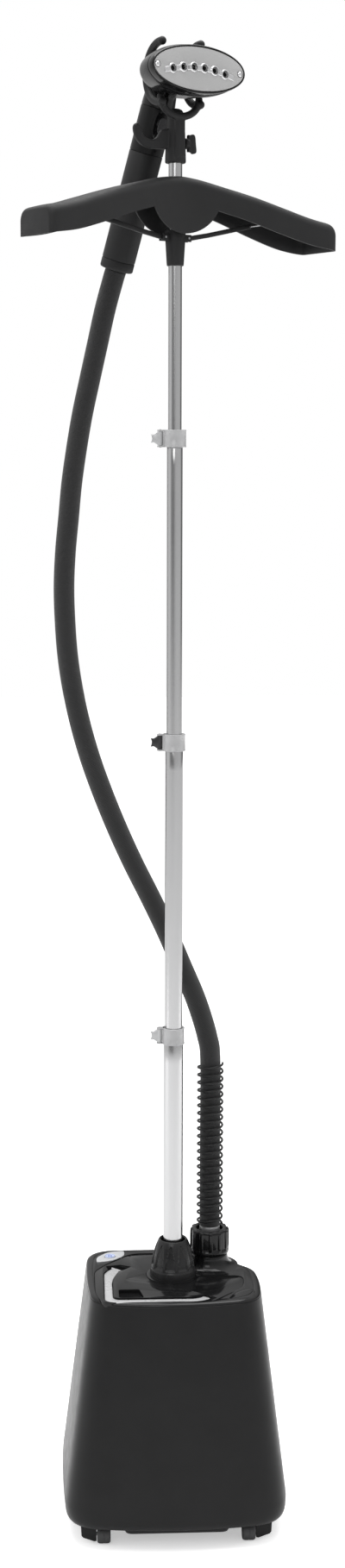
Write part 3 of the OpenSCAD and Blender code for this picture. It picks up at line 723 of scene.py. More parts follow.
def make_deck():
    rings = [(293.2, 3.2), (296.2, 3.0), (296.2, 0.1), (297, 0.15), (298, 0.6), (298.8, 1.4),
             (299.5, 2.6), (299.9, 3.9), (300, 5.4)]
    obj = loft("deck_top", [base_ring(z, i) for z, i in rings])
    carve(obj, lid_solid("lid_cut", 280, 305, 0.6, 32.4))
    leaf = moved(prism("leaf_cut", grown(outline(LEAF_C, 10), 0.35), 298.6, 305), leaf_matrix())
    groove = loft("seam_cut", [base_ring(299.3, 8.0), base_ring(302, 8.0), base_ring(302, 8.8),
                               base_ring(299.3, 8.8)], around=True)
    petal = [(90, -80, 7), (97, -66, 7), (92, -50, 8), (73, -62, 9), (62, -83, 6)]
    ridge = loft("petal_cut", [[(p.x, p.y, z) for p in grown(outline(petal, 10), g)]
                               for z, g in ((299.5, 0.25), (302, 0.25), (302, -0.25),
                                            (299.5, -0.25))], around=True)
    carve(obj, leaf, groove, ridge, rod("collar_cut", 24.0, 280, 305),
          rod("boss_cut", 20.0, 280, 305, BOSS),
          rod("button_cut", 4.4, 280, 305, LEAF[:2]))
    soften(obj, 0.22, 2, 50.0)
    finish_piece(obj, "base", "black_gloss", ("deck_cover",), angle=30.0)
    flare = [(20.2, 298.5), (35.5, 298.9), (35.5, 300.02), (33, 300.35), (30.6, 301),
             (28.2, 302.1), (26.2, 303.7), (24.6, 305.9), (23.6, 308.2), (22.9, 310.8),
             (22.5, 313.4), (22.3, 315.6), (21.9, 316.4), (20.2, 316.6)]
    obj = lathe("hose_boss", flare, 96, BOSS)
    carve(obj, rod("cone_cut", 30.4, 290, 320, steps=96))
    finish_piece(obj, "base", "black_gloss", angle=40.0)


def make_panel():
    panel = moved(prism("panel", outline(LEAF_C, 12), 298.7, 300.75), leaf_matrix())
    carve(panel, rod("hole_cut", 7.0, 290, 305, LEAF[:2]))
    soften(panel, 0.45, 3, 40.0)
    finish_piece(panel, "base", "white_panel", ("control_leaf",))
    x, y = LEAF[:2]
    cap = [(0.02, 300.9), (3, 301.05), (5, 301.35), (5.9, 301.6), (6.3, 301.7), (6.6, 301.45),
           (6.6, 300.5), (4.0, 300.3), (4.0, 290.2), (0.02, 290.0)]
    button = lathe("button_cap", cap, 72, (x, y), around=False)
    finish_piece(button, "button", "blue_button", ("power_button",))
    parts = []
    for inner, outer, sweep in ((5.0, 5.7, 360), (2.2, 2.9, 290)):
        rings = []
        count = 60
        for i in range(count + (0 if sweep == 360 else 1)):
            a = math.radians(90 + (360 - sweep) / 2 + sweep * i / count)
            rings.append([(x + r * math.cos(a), y + r * math.sin(a), z)
                          for r, z in ((inner, 300.9), (outer, 300.9), (outer, 301.62),
                                       (inner, 301.62))])
        parts.append(loft("mark", rings, caps=sweep != 360, around=sweep == 360))
    parts.append(block("mark", (x - 0.35, y + 1.2, 300.9), (x + 0.35, y + 3.8, 301.62)))
    finish_piece(merged("power_mark", parts), "button", "blue_button", material=INK)


def make_collar():
    profile = [(28.4, 300.1), (28.2, 303), (27.8, 306), (27.3, 309), (26.6, 309.6),
               (26.5, 311), (26.3, 313), (25.8, 317), (25.1, 321), (24.2, 325.4), (23.1, 330),
               (21.9, 334.4), (20.6, 338.4), (19.3, 341.6), (18.3, 343.8), (17.7, 344.8),
               (17.2, 345.6), (16.6, 346), (15.7, 345.9), (14.9, 345.2), (14.7, 343.5)]
    dense = []
    for (r0, z0), (r1, z1) in zip(profile, profile[1:]):
        steps = max(1, int((z1 - z0) / 0.9))
        dense += [(r0 + (r1 - r0) * k / steps, z0 + (z1 - z0) * k / steps)
                  for k in range(steps)]
    dense.append(profile[-1])
    dense += [(14.7, 336), (18.7, 330), (18.7, 300.1)]
    sides = 240
    rings = []
    for r, z in dense:
        ring = []
        for i in range(sides):
            a = math.tau * i / sides
            wide = (a * 10 / math.tau + 0.28) % 1.0 - 0.5
            dip = 0.0
            if r > 17.5 and 311 < z < 342:
                s = (z - 312.0) / 29.0
                half = 0.4 * math.sqrt(max(0.0, 1 - max(0.0, s) ** 2.4))
                edge = min(half - abs(wide), 0.09, (z - 311) * 0.03)
                dip = max(0.0, min(1.0, edge / 0.09))
                dip = 1.9 * dip * dip * (3 - 2 * dip)
            ring.append(((r - dip) * math.cos(a), (r - dip) * math.sin(a), z))
        rings.append(ring)
    obj = loft("pole_cone", rings, around=True)
    finish_piece(obj, "base", "black_gloss", ("pole_collar",), angle=50.0,
                 material=SOFT_BLACK)


def make_nut():
    sides = 360
    ribs = 12
    profile = [(12.7, 317), (22.6, 317), (23.4, 317.6), (23.9, 319), (24, 321), (23.8, 322.6),
               (22.6, 323.8), (22.5, 326), (22.5, 340), (22.4, 344), (22.2, 346.4),
               (21.6, 347.8), (20.6, 348.5), (17.4, 348.6), (16.6, 348.2), (16.2, 347.2),
               (16.0, 343), (13.4, 342), (12.7, 341)]
    dense = []
    for (r0, z0), (r1, z1) in zip(profile, profile[1:]):
        steps = max(1, int(abs(z1 - z0) / 1.5))
        dense += [(r0 + (r1 - r0) * k / steps, z0 + (z1 - z0) * k / steps) for k in range(steps)]
    dense.append(profile[-1])
    rings = []
    for r, z in dense:
        ring = []
        for i in range(sides):
            a = math.tau * i / sides
            wave = 0.5 + 0.5 * math.cos(ribs * a)
            wave = max(0.0, min(1.0, (wave - 0.62) / 0.26))
            wave = wave * wave * (3 - 2 * wave)
            fade = max(0.0, min(1.0, (z - 322.6) / 2.0)) if r > 17 else 0.0
            fade *= max(0.0, min(1.0, (349.2 - z) / 1.6))
            rr = r + 1.7 * wave * fade
            ring.append((BOSS[0] + rr * math.cos(a), BOSS[1] + rr * math.sin(a), z))
        rings.append(ring)
    obj = loft("ribbed_nut", rings, around=True)
    finish_piece(obj, "nut", "black_gloss", ("hose_nut",), angle=50.0)


def make_lid():
    obj = lid_solid("lid_top", 293, 299.6, 0.0, 33.0)
    shape = outline(BAIL_C, 8)
    wide = prism("bail_cut", grown(shape, 1.3), 295.0, 304)
    well = prism("well_cut", outline([(-68, -73, 3), (-38, -73, 3), (-43, -47, 3),
                                      (-68, -47, 3)], 5), 294.6, 304)
    crease = prism("crease_cut", [(-58.0, -14.0), (-26.0, 7.4), (-26.3, 7.8), (-58.3, -13.6)],
                   299.35, 302)
    notch = prism("notch_cut", outline([(-77, 10, 2), (-60, 16, 2), (-50, 27, 2), (-64, 34, 2),
                                        (-82, 30, 2)], 4), 295.0, 304)
    carve(obj, wide, well, crease, notch)
    soften(obj, 0.25, 2, 50.0)
    finish_piece(obj, "tank", "black_gloss", ("tank_lid",), angle=30.0)


def make_bail():
    shape = outline(BAIL_C, 10)
    obj = prism("bail_strap", shape, PIVOT_Z - 1.3, PIVOT_Z + 1.3)
    way = Vector(BAIL_B) - Vector(BAIL_A)
    turn = math.degrees(math.atan2(way.y, way.x))
    place = Matrix.Translation((BAIL_A[0] * MM, BAIL_A[1] * MM, PIVOT_Z * MM)) \
        @ rotation(turn, "Z")
    carve(obj, moved(block("trim", (-20, 1.3, -5), (170, 31, 5)), place))
    soften(obj, 0.7, 3, 40.0)
    pins = []
    for x in (-11, way.length - 9):
        pins.append(moved(rod("pin", 1.3, x, x + 20, steps=24),
                          place @ rotation(90, "Y")))
    obj = merged("bail_strap", [obj] + pins)
    finish_piece(obj, "tank_handle", "silver_bail", ("bail",))


def make_tray():
    """The low middle of the pan, seen between the castors."""
    shape = [(-64, -116, 12), (64, -116, 12), (64, 92, 18), (-64, 92, 18)]
    rings = [[(p.x, p.y, z) for p in grown(outline(shape, 8), g)]
             for z, g in ((27, 2), (23, 0), (19.4, -2), (18.4, -4.4))]
    finish_piece(loft("low_tray", rings), "base", "black_satin", angle=40.0)


SOFT_BLACK = moulded("soft_black", (0.011, 0.011, 0.0114), 0.26, grain=0.008, specular=0.35,
                     spread=0.05)
make_body()
make_tray()
make_deck()
make_panel()
make_collar()
make_nut()
make_lid()
make_bail()


# ---------------------------------------------------------------- pole and clamps
def make_tubes():
    bodies = ("base", "pole_low", "pole_mid", "pole_top")
    for k, (r, low, high) in enumerate(TUBES):
        inner = r - TUBE_WALL
        profile = [(r, low + 0.3), (r, low + 40), (r, (low + high) / 2), (r, high - 40),
                   (r, high - 0.4), (r - 0.25, high - 0.08), (r - 0.45, high),
                   (inner + 0.2, high), (inner, high - 0.25), (inner, low + 0.2),
                   (inner + 0.2, low), (r - 0.3, low)]
        obj = lathe("pole_tube_%d" % (4 - k), profile, 96)
        finish_piece(obj, bodies[k], "pole_aluminium", ("tube_%d" % (4 - k),), angle=40.0)


def make_clamps():
    bodies = (("base", "clamp_lever_low"), ("pole_low", "clamp_lever_mid"),
              ("pole_mid", "clamp_lever_top"))
    for k, z in enumerate(CLAMPS):
        tag = 3 - k
        r = TUBES[k][0] + 0.05
        upper = TUBES[k + 1][0] + 0.35
        profile = [(13.0, z - 10), (13.3, z - 9.7), (13.3, z - 8.7), (13.05, z - 8.4),
                   (13.05, z + 8.4), (13.3, z + 8.7), (13.3, z + 9.6), (12.9, z + 10),
                   (upper + 0.3, z + 10), (upper, z + 9.7), (upper, z + 7), (r, z + 7),
                   (r, z - 9.7), (r + 0.3, z - 10)]
        band = lathe("band", profile, 96)
        lugs = []
        for s in (-9.2, 9.2):
            lug = [(-17 + 3.4 * math.cos(math.radians(a)), 3.4 * math.sin(math.radians(a)))
                   for a in range(90, 271, 12)]
            lug += [(-10, -3.4), (-10, 3.4)]
            lugs.append(soften(prism("lug", lug, z + s - 0.8, z + s + 0.8), 0.3, 2))
        cheeks = []
        for y in (-5.2, 3.6):
            cheeks.append(soften(block("cheek", (-13.6, y, z - 8.2), (-9.4, y + 1.6, z + 8.2)),
                                 0.3, 2))
        obj = merged("clamp_band_%d" % tag, [band] + lugs + cheeks)
        finish_piece(obj, bodies[k][0], "band_grey", ("band_%d" % tag,), angle=40.0)
        blade = [(-17, -8.2), (-13.95, -8.2), (-13.9, 8.2), (-17, 8.2), (-19.5, 7.6),
                 (-24.2, 4.4), (-27.8, 5), (-26.8, 2.8), (-26.4, 0), (-26.8, -2.8),
                 (-27.8, -5), (-24.2, -4.4), (-19.5, -7.6)]
        blade = [p for p in blade if p[0] <= -17]
        plate = moved(prism("blade", blade, -2.6, 2.6),
                      Matrix.Translation((0, 0, z * MM)) @ rotation(90, "X"))
        soften(plate, 0.6, 2, 25.0)
        drum = lathe("drum", [(1.35, z - 8.2), (2.8, z - 8.2), (3.1, z - 7.9), (3.1, z + 7.9),
                              (2.8, z + 8.2), (1.35, z + 8.2)], 40, (-17, 0))
        obj = merged("clamp_lever_%d" % tag, [plate, drum])
        slot = "black_lever" if tag == 2 else "clear_lever"
        finish_piece(obj, bodies[k][1], slot, ("lever_%d" % tag,), angle=40.0)


make_tubes()
make_clamps()


# ---------------------------------------------------------------- hanger
def hanger_slice(x):
    far = abs(x)
    tip = max(0.0, (far - 176.0) / 14.0)
    ease_in = 1 - math.sqrt(max(0.0, 1 - tip * tip))
    wide = eased(HANGER_WIDE, far) - 16.0 * ease_in
    top = eased(HANGER_TOP, far) - 5.0 * ease_in
    if far <= 42:
        low = 1590 - math.sqrt(46 * 46 - far * far)
    else:
        low = eased(HANGER_LOW, far)
    middle = -0.09 * math.sqrt(far * far + 100) + 0.9
    r = 11.0
    ring = [(x, middle - wide / 2, low), (x, middle - wide / 2, (low + top - r) / 2)]
    for i in range(9):
        a = math.radians(i * 90 / 8)
        ring.append((x, middle - wide / 2 + r - r * math.cos(a), top - r + r * math.sin(a)))
    for i in range(1, 6):
        s = i / 6
        ring.append((x, middle + (wide - 2 * r) * (s - 0.5), top + 0.5 * math.sin(math.pi * s)))
    for i in range(8, -1, -1):
        a = math.radians(i * 90 / 8)
        ring.append((x, middle + wide / 2 - r + r * math.cos(a), top - r + r * math.sin(a)))
    ring += [(x, middle + wide / 2, (low + top - r) / 2), (x, middle + wide / 2, low)]
    return ring


def make_hanger():
    half = [0.0]
    while half[-1] < 176:
        near = half[-1]
        half.append(near + (2.0 if near < 50 else 5.0))
    half = [x for x in half if abs(x - 42) > 1.2 and x < 176] + [41.9, 42.1]
    half = sorted(half) + [176 + 14 * math.sin(math.radians(a)) for a in range(0, 91, 9)]
    stations = [-x for x in reversed(half[1:])] + half
    rings = [hanger_slice(x) for x in stations]
    n = len(rings[0])
    m = len(rings)
    points = [p for ring in rings for p in ring]
    faces = [(k * n + i, (k + 1) * n + i, (k + 1) * n + i + 1, k * n + i + 1)
             for k in range(m - 1) for i in range(n - 1)]
    for k in (0, m - 1):
        for i in range(n // 2):
            a, b = k * n + i, k * n + i + 1
            c, d = k * n + n - 2 - i, k * n + n - 1 - i
            faces.append((a, b, c, d) if b != c else (a, b, d))
    obj = solid("hanger_skin", points, faces)
    moved(obj, Matrix.Scale(HANGER_STRETCH, 4, (1, 0, 0)))
    wall = obj.modifiers.new("wall", "SOLIDIFY")
    wall.thickness = 2.4 * MM
    wall.offset = -1.0
    wall.use_even_offset = True
    bake_modifiers(obj)
    carve(obj, rod("pole_cut", 8.35, 1560, 1630, steps=64))
    soften(obj, 0.5, 2, 55.0)
    moved(obj, rotation(HANGER_TURN, "Z"))
    finish_piece(obj, "hanger", "charcoal", ("hanger_shell",), angle=40.0)


def make_hanger_collar():
    profile = [(9.0, 1509), (9.7, 1509.6), (9.9, 1512), (12.1, 1547.6), (11.8, 1548.8),
               (11.2, 1549), (7.82, 1549), (7.82, 1509)]
    cone = lathe("cone", profile, 80)
    ears = []
    for s in (-1, 1):
        for y in (-4.6, 2.2):
            x = s * 14.5
            ears.append(soften(block("ear", (x - 5, y, 1536.5), (x + 5, y + 2.4, 1544.5)),
                               0.5, 2))
    obj = merged("hanger_cone", [cone] + ears)
    moved(obj, rotation(HANGER_TURN, "Z"))
    finish_piece(obj, "hanger", "charcoal", ("hanger_collar",), angle=40.0)


def make_struts():
    for s, name in ((-1, "left"), (1, "right")):
        shape = [(-s * 2.6, -2.6), (s * 2, -2.8), (s * 30, 2.6), (s * 90, 16), (s * 92, 17.2),
                 (s * 92, 19.5), (s * 89, 21.2), (s * 30, 8), (s * 2, 2.8), (-s * 2.6, 2.4)]
        obj = prism("strut", shape, -2, 2)
        moved(obj, Matrix.Translation((s * 16 * MM, 0, 1.5405)) @ rotation(90, "X"))
        soften(obj, 0.7, 2, 30.0)
        obj.name = "strut_bar_" + name
        moved(obj, rotation(HANGER_TURN, "Z"))
        finish_piece(obj, "hanger", "charcoal", ("strut_" + name,), angle=40.0)


make_hanger()
make_hanger_collar()
make_struts()


# ---------------------------------------------------------------- holder and its thumb screw
def arc(centre, radius, start, sweep, steps=40):
    """Points of an arc in the holder's front plane (x, z)."""
    result = []
    for i in range(steps + 1):
        a = math.radians(start + sweep * i / steps)
        result.append((centre[0] + radius * math.cos(a), centre[1],
                       centre[2] + radius * math.sin(a)))
    return result


def make_holder():
    x, y, z, r = CRADLE
    sleeve = [(7.8, 1623), (11.4, 1623), (12, 1624), (11.8, 1632), (11, 1656), (10.2, 1666),
              (9.6, 1674), (9.2, 1678), (7.8, 1681), (4.6, 1682.8), (0.05, 1683.4),
              (0.05, 1679), (7.8, 1678.4)]
    parts = [lathe("sleeve", sleeve, 64)]
    parts.append(soften(block("spine", (-6.4, -12.6, 1628), (6.4, 0, 1677)), 2.5, 3))
    bow = [(px, py, 1693.4 + (pz - 1693.4) * 0.8)
           for px, py, pz in arc((0, y, 1693.4), x, 180, 180)]
    parts.append(rounded_rod("fork", bow, 4.3))
    for s in (-1, 1):
        path = []
        for i in range(49):
            a = math.radians(84 + 192 * i / 48)
            path.append((s * x, y - r * math.cos(a), z + r * math.sin(a)))
        parts.append(rounded_rod("claw", path, 4.5, 4.9))
    hook = [(-6, 1638), (-6, 1659), (-17, 1659), (-20.5, 1657.4), (-24.5, 1651), (-30, 1647.4),
            (-37, 1648), (-42.4, 1651.6), (-46, 1659), (-48.6, 1663), (-51.8, 1663.8),
            (-54.6, 1661), (-54.8, 1656), (-52.6, 1649), (-47.6, 1642.6), (-40, 1638.4),
            (-29, 1637)]
    shape = curve_through([(p[0], p[1], 0) for p in hook + hook[:1]], 3)[:-1]
    plate = prism("hook", shape, -3.4, 3.4)
    moved(plate, rotation(90, "X"))
    parts.append(soften(plate, 2.2, 3, 50.0))
    obj = fused("hooked_holder", parts, 0.75, 8)
    bore = rod("bore", 7.82, 1610, 1678.3, steps=64)
    carve(obj, bore)
    moved(obj, rotation(HOLDER_TURN, "Z"))
    finish_piece(obj, "pole_top", "charcoal", ("holder",), angle=50.0)


def make_thumb():
    shape = [(-1, -9), (3, -9), (5, -10.6), (8, -10.2), (9.6, -7.6), (8.8, 0), (8, 8),
             (6, 10.6), (3, 10.4), (1, 9), (-1, 9)]
    shape = curve_through([(p[0], p[1], 0) for p in shape + shape[:1]], 3)[:-1]
    wing = prism("wing", shape, -2.5, 2.5)
    soften(wing, 1.2, 3, 40.0)
    moved(wing, Matrix.Translation((0.017, 0, 0)) @ rotation(90, "X"))
    stem = lathe("stem", [(0.05, 8.2), (2.3, 8.2), (2.3, 11.4), (5.2, 11.4), (6, 12.2),
                          (6, 16.4), (5, 17.6), (3.4, 19), (0.05, 19.4)], 48)
    moved(stem, rotation(90, "Y"))
    obj = merged("thumb_wing", [wing, stem])
    moved(obj, rotation(HOLDER_TURN, "Z") @ Matrix.Translation((0, 0, 1.6455)))
    finish_piece(obj, "thumb", "charcoal", ("thumb_screw",), angle=45.0)


make_holder()
make_thumb()


# ---------------------------------------------------------------- handset
HEAD = (rotation(HOLDER_TURN, "Z") @ Matrix.Translation((0, CRADLE[1] * MM, HEAD_Z * MM))
        @ rotation(1.4, "Y"))
HANDLE = (Matrix.Translation(Vector(HANDLE_AT) * MM) @ rotation(HANDLE_TILT[1], "Z")
          @ rotation(HANDLE_TILT[0], "Y"))


def oval(y, a, b, n=96):
    return [(a * math.cos(math.tau * i / n), y, b * math.sin(math.tau * i / n))
            for i in range(n)]


def make_head():
    shape = [(-26, 4, 3), (-24.6, 16, 8.4), (-21, 27, 15), (-15, 38, 21), (-7, 47, 24.8),
             (2, 53, 26), (12, 56, 26.8), (22, 58, 27.8), (28.4, 58.9, 27.9), (30.6, 59.1, 27.4)]
    fine = curve_through(shape, 5)
    levels = [(-26.6, 0.4, 0.3), (-26.4, 2.2, 1.6)] + [tuple(v) for v in fine]
    levels += [(31.4, 59.0, 26.9), (31.6, 58.3, 26.0), (32.6, 58.3, 25.8), (32.8, 59.3, 26.4),
               (33.6, 59.6, 26.4), (37, 59.8, 26.1), (41, 59.8, 25.9), (42.8, 59.5, 25.6),
               (43.5, 58.9, 25.0), (43.5, 58.3, 24.2), (43.0, 57.9, 23.85), (39.9, 57.9, 23.8),
               (39.8, 50, 20)]
    rings = [oval(-v, a, b) for v, a, b in levels]
    dome = moved(loft("dome", rings), HEAD)
    steps = [(0, 19.4, 19.4, 0, 0), (6, 19.1, 19.3, 0, -0.3), (13, 18.4, 18.8, 0.6, -1.6),
             (21, 17.2, 17.4, 2.6, -4), (29, 15.8, 15.6, 6.4, -8), (36, 14, 13.4, 11, -13)]
    rings = []
    fine = []
    for k in range(len(steps) - 1):
        for j in range(4):
            fine.append([a + (b - a) * j / 4 for a, b in zip(steps[k], steps[k + 1])])
    fine.append(list(steps[-1]))
    for v in fine:
        rings.append([(v[3] + v[1] * math.cos(math.tau * i / 72),
                       v[4] + v[2] * math.sin(math.tau * i / 72), HANDLE_LEN + v[0])
                      for i in range(72)])
    neck = moved(loft("neck", rings), HANDLE)
    obj = merged("steam_head", [dome, neck])
    finish_piece(obj, "handset", "black_gloss", ("head_shell",), angle=40.0)


def hole_spots():
    return [(i * 13.4 - 33.5, 1.6 - 0.0036 * (i * 13.4 - 33.5) ** 2) for i in range(6)]


def hole_cutters():
    return [lathe("cone", [(0.05, -1), (2.8, -1), (2.8, 1.6), (4.0, 4.4), (0.05, 4.4)],
                  40, spot, around=False) for spot in hole_spots()]


def make_sole():
    n = 128
    rings = []
    for z, k in ((0, 0.3), (1.8, 0.0), (2.5, 0.08), (2.86, 0.35), (3.0, 0.8)):
        rings.append([((57.5 - k) * math.cos(math.tau * i / n),
                       (23.4 - k) * math.sin(math.tau * i / n), z) for i in range(n)])
    obj = loft("plate", rings)
    rings = []
    for z, half in ((2.5, 3.1), (3.5, 3.0), (3.9, 2.6), (4.0, 2.0)):
        upper = [(-44 + 88 * i / 24, half) for i in range(25)]
        ring = []
        for x, side in upper + [(x, -h) for x, h in reversed(upper)]:
            ring.append((x, 1.0 - 0.0033 * x * x + side, z))
        rings.append(ring)
    relief = loft("sole_relief", rings)
    carve(relief, *[lathe("boss", [(0.05, 2.5), (5.6, 2.5), (5.5, 3.4), (4.9, 4.1), (4.3, 4.3),
                                   (0.05, 4.3)], 40, spot, around=False)
                    for spot in hole_spots()], operation="UNION")
    cutters = hole_cutters()
    for s in (-1, 1):
        cutters.append(lathe("seat", [(0.05, 1.6), (3.5, 1.6), (4.0, 3.4), (0.05, 3.4)], 40,
                             (s * 53, 0), around=False))
    carve(obj, *cutters)
    carve(relief, *hole_cutters())
    place = HEAD @ Matrix.Translation((0, -0.0403, 0)) @ rotation(90, "X")
    soften(obj, 0.15, 2, 40.0)
    moved(obj, place)
    finish_piece(obj, "handset", "sole_grey", ("sole_plate",), angle=30.0)
    moved(relief, place)
    finish_piece(relief, "handset", "screw_chrome", angle=30.0)
    # Painted shade: near-black discs fill the bottom of each hole to stand for the dark inside of the head.
    dark = []
    for x, y in hole_spots():
        dark.append(rod("dark", 2.92, -0.4, 0.5, (x, y), 32))
    obj = moved(merged("bore_shade_discs", dark), place)
    finish_piece(obj, "handset", "dark_grey", material=SHADE_AND_MARK_BLACK)
    screws = []
    for s in (-1, 1):
        head = lathe("head", [(0.05, 0.4), (1.7, 0.4), (1.7, 2.0), (3.0, 2.0), (3.2, 2.3),
                              (2.9, 3.2), (2.0, 3.9), (0.8, 4.15), (0.05, 4.2)], 40,
                     (s * 53, 0), around=False)
        slots = [block("slot", (s * 53 - 2.1, -0.35, 3.3), (s * 53 + 2.1, 0.35, 5)),
                 block("slot", (s * 53 - 0.35, -2.1, 3.3), (s * 53 + 0.35, 2.1, 5))]
        screws.append(carve(head, *slots))
    obj = moved(merged("sole_screw_pair", screws), place)
    finish_piece(obj, "handset", "screw_chrome", ("sole_screws",), angle=30.0)


def curved_patch(name, around, low, high, half, inner, outer):
    """A pad with an oval outline lying on the handle's round skin."""
    rings = []
    count = 48
    for level, grow in ((inner, 0.0), (outer - 0.25, 0.0), (outer, -0.4)):
        ring = []
        for i in range(count):
            a = math.tau * i / count
            c, s = math.cos(a), math.sin(a)
            x = math.copysign(abs(c) ** 0.7, c) * (half + grow)
            z = (low + high) / 2 + math.copysign(abs(s) ** 0.7, s) * ((high - low) / 2 + grow)
            t = math.radians(around) + x / HANDLE_R
            ring.append((level * math.cos(t), level * math.sin(t), z))
        rings.append(ring)
    return loft(name, rings)


def make_handle():
    r = HANDLE_R
    turned = (
        ("barrel_skin", "black_satin", "handle_barrel",
         [(17, 137.2), (19.2, 137.2), (r, 137.6), (r, 150), (r, 165), (r, 180), (19.55, 186.4),
          (19.3, 188.2), (18.8, 188.7), (17, 188.7)]),
        ("grip_skin", "charcoal", "handle_grip",
         [(17, 12), (19.2, 12), (r, 12.4), (r, 40), (r, 70), (r, 136), (19.3, 136.5),
          (17, 136.6)]),
        ("grip_end", "charcoal", "handle_end",
         [(10, 0.4), (17.8, 0.4), (18.9, 0.9), (19.5, 2.0), (r, 3.4), (r, 10.8), (19.2, 11.4),
          (17, 11.5), (10, 11.5)]),
    )
    for name, slot, node, profile in turned:
        finish_piece(moved(lathe(name, profile, 96), HANDLE), "handset", slot, (node,))
    # Painted shade: recessed near-black rings fill the seam gaps between grip, barrel and end.
    ring = lathe("seam_shade_ring", [(15, 136.2), (19.0, 136.2), (19.0, 137.6), (15, 137.6)], 96)
    lower = lathe("seam_shade_ring", [(15, 11.1), (19.0, 11.1), (19.0, 12.4), (15, 12.4)], 96)
    obj = moved(merged("handle_seam_shade", [ring, lower]), HANDLE)
    finish_piece(obj, "handset", "dark_grey", material=SHADE_AND_MARK_BLACK)
    pad = moved(curved_patch("gloss_pad", THUMB_SIDE, 154, 188, 9.5, r - 1.2, r + 0.35), HANDLE)
    finish_piece(pad, "handset", "black_gloss", angle=50.0)
    mark = [(-2.2, 143.6), (2.2, 143.6), (0, 140.0)]
    rings = []
    for level in (r - 0.4, r + 0.12):
        rings.append([(level * math.cos(math.radians(THUMB_SIDE) + x / r),
                       level * math.sin(math.radians(THUMB_SIDE) + x / r), z) for x, z in mark])
    obj = moved(loft("lock_mark", rings), HANDLE)
    finish_piece(obj, "handset", "dark_grey", material=SHADE_AND_MARK_BLACK)
    slider = curved_patch("slide_knob", THUMB_SIDE, 161.8, 180.2, 4.4, r - 1.0, r + 1.6)
    cuts = []
    for z in (167, 171, 175):
        groove = rod("groove", 0.9, -10, 10, steps=24)
        moved(groove, rotation(THUMB_SIDE, "Z") @ Matrix.Translation(((r + 2.0) * MM, 0, z * MM))
              @ rotation(90, "X"))
        cuts.append(groove)
    carve(slider, *cuts)
    moved(slider, HANDLE)
    finish_piece(slider, "slider", "dark_grey", ("steam_slider",), angle=35.0)


make_head()
make_sole()
make_handle()


# ---------------------------------------------------------------- castors
def make_wheels():
    for tag in ("fl", "fr", "bl", "br"):
        low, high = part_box("wheel_" + tag)
        fork_low, fork_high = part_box("fork_" + tag)
        inward = 1 if (low.x + high.x) > (fork_low.x + fork_high.x) else -1
        y = (low.y + high.y) / 2 / MM
        z = WHEEL_R
        inner_end = (high.x if inward > 0 else low.x) / MM
        centre = inner_end - inward * 8.0
        profile = [(2.0, -8), (3.6, -8), (4.0, -7.4), (7.6, -7.4), (8.0, -8), (9.4, -7.9),
                   (10.6, -7.1), (11.3, -5.6), (11.5, -4), (11.5, -0.5), (11.2, -0.3),
                   (11.2, 0.3), (11.5, 0.5), (11.5, 4), (11.3, 5.6), (10.6, 7.1), (9.4, 7.9),
                   (8.0, 8), (7.6, 7.4), (4.0, 7.4), (3.6, 8), (2.0, 8)]
        roller = lathe("roller", profile, 72)
        place = Matrix.Translation((centre * MM, y * MM, z * MM)) @ rotation(90, "Y")
        moved(roller, place)
        roller.name = "roller_" + tag
        finish_piece(roller, "roller_" + tag, "roller_rubber", ("wheel_" + tag,))
        start = centre - inward * 18.4
        axle = lathe("axle", [(0.05, 0), (1.8, 0), (2.1, 0.4), (2.1, 23), (1.6, 23.4),
                              (0.05, 23.4)], 32, around=False)
        turn = 90 if inward > 0 else -90
        moved(axle, Matrix.Translation((start * MM, y * MM, z * MM)) @ rotation(turn, "Y"))
        axle.name = "axle_" + tag
        finish_piece(axle, "roller_" + tag, "steel")


make_wheels()


# ---------------------------------------------------------------- carried-over CAD nodes
def dress_nodes():
    slots = {p["node"]: p["material_slot"] for p in frame["record"]["subparts"]}
    for name, obj in frame["nodes"].items():
        if obj.hide_render:
            continue
        obj.data.materials.clear()
        obj.data.materials.append(PAINT[slots[name]])
        if name.startswith("fork_"):
            edge = obj.modifiers.new("edge", "BEVEL")
            edge.width = 0.5 * MM
            edge.segments = 2
            edge.limit_method = "ANGLE"
            edge.angle_limit = math.radians(40)


dress_nodes()


# ---------------------------------------------------------------- floor, light and sky
def make_floor():
    data = bpy.data.meshes.new("floor")
    data.from_pydata([(-9, -9, 0), (9, -9, 0), (9, 9, 0), (-9, 9, 0)], [], [(0, 1, 2, 3)])
    obj = bpy.data.objects.new("floor", data)
    SCENE.collection.objects.link(obj)
    material, tree, shader = nodes_of("floor_white")
    where = put(tree, "TexCoord").outputs["Object"]
    drift = noise(tree, where, 3.0, 3.0)
    tree.links.new(blended(tree, drift, (0.9, 0.9, 0.9, 1), (0.93, 0.93, 0.93, 1)),
                   shader.inputs["Base Color"])
    shader.inputs["Roughness"].default_value = 0.9
    shader.inputs["Specular IOR Level"].default_value = 0.1
    shader.inputs["Emission Color"].default_value = (1, 1, 1, 1)
    seen = put(tree, "LightPath").outputs["Is Camera Ray"]
    tree.links.new(maths(tree, "MULTIPLY", seen, 0.42), shader.inputs["Emission Strength"])
    data.materials.append(material)


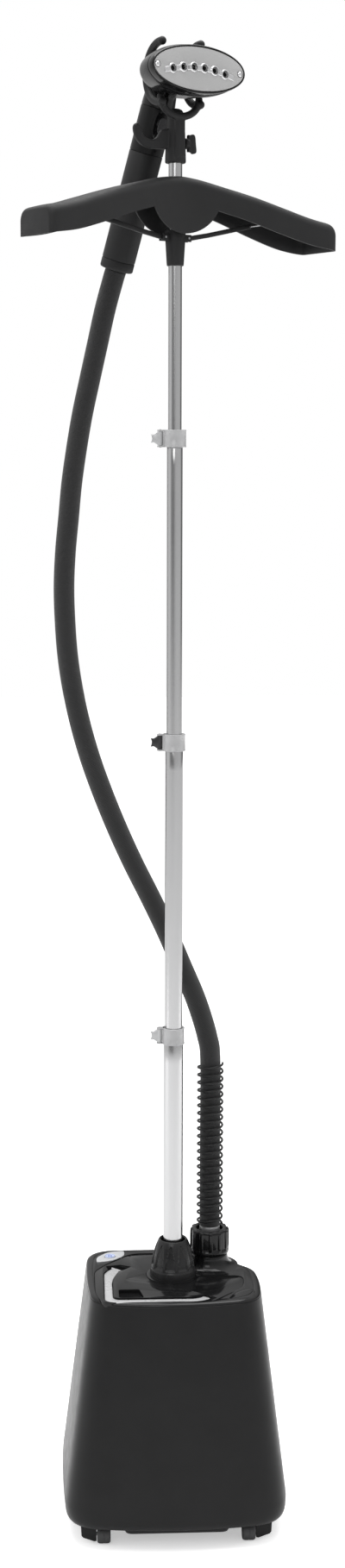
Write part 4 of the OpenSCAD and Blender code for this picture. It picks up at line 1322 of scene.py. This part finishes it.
def area(name, at, towards, size, power, reflected=True):
    data = bpy.data.lights.new(name, "AREA")
    data.shape = "RECTANGLE"
    data.size, data.size_y = size
    data.energy = power
    obj = bpy.data.objects.new(name, data)
    SCENE.collection.objects.link(obj)
    way = Vector(towards) - Vector(at)
    obj.rotation_euler = way.to_track_quat("-Z", "Y").to_euler()
    obj.location = at
    obj.visible_glossy = reflected


def make_light():
    area("top", (0.0, 0.2, 3.6), (0, 0, 0), (2.6, 2.6), 75)
    area("left", (-2.4, -0.3, 1.2), (0, 0, 0.9), (1.0, 2.6), 22, False)
    area("right", (2.4, 0.1, 1.2), (0, 0, 0.9), (1.0, 2.6), 22, False)
    area("front", (-0.9, -3.2, 2.6), (0, 0, 0.9), (1.6, 1.6), 16)
    world = bpy.data.worlds.new("studio")
    SCENE.world = world
    world.use_nodes = True
    tree = world.node_tree
    back = tree.nodes["Background"]
    way = put(tree, "TexCoord").outputs["Generated"]
    parts = put(tree, "SeparateXYZ", {"Vector": way}).outputs
    turn = maths(tree, "ARCTAN2", parts["X"], maths(tree, "MULTIPLY", parts["Y"], -1.0))
    around = put(tree, "ValToRGB", {"Fac": ranged(tree, turn, 0.0, 1.0, -math.pi, math.pi)})
    bands = around.color_ramp
    stops = ((0.0, 0.5), (0.1, 0.74), (0.3, 0.78), (0.37, 0.24), (0.45, 0.18), (0.53, 0.58),
             (0.74, 0.66), (0.84, 0.14), (0.95, 0.14), (1.0, 0.4))
    bands.elements.remove(bands.elements[1])
    for k, (at, value) in enumerate(stops):
        stop = bands.elements[0] if k == 0 else bands.elements.new(at)
        stop.color = (value, value, value, 1)
    dome = ranged(tree, parts["Z"], 0.0, 1.0, 0.25, 0.7)
    sky = blended(tree, dome, around.outputs["Color"], (0.95, 0.95, 0.95, 1))
    seen = put(tree, "LightPath").outputs["Is Camera Ray"]
    level = maths(tree, "ADD", maths(tree, "MULTIPLY", sky, maths(tree, "SUBTRACT", 1.0, seen)),
                  maths(tree, "MULTIPLY", seen, 1.0))
    tree.links.new(level, back.inputs["Strength"])
    back.inputs["Color"].default_value = (1, 1, 1, 1)


make_floor()
make_light()
SCENE.view_settings.view_transform = "Standard"
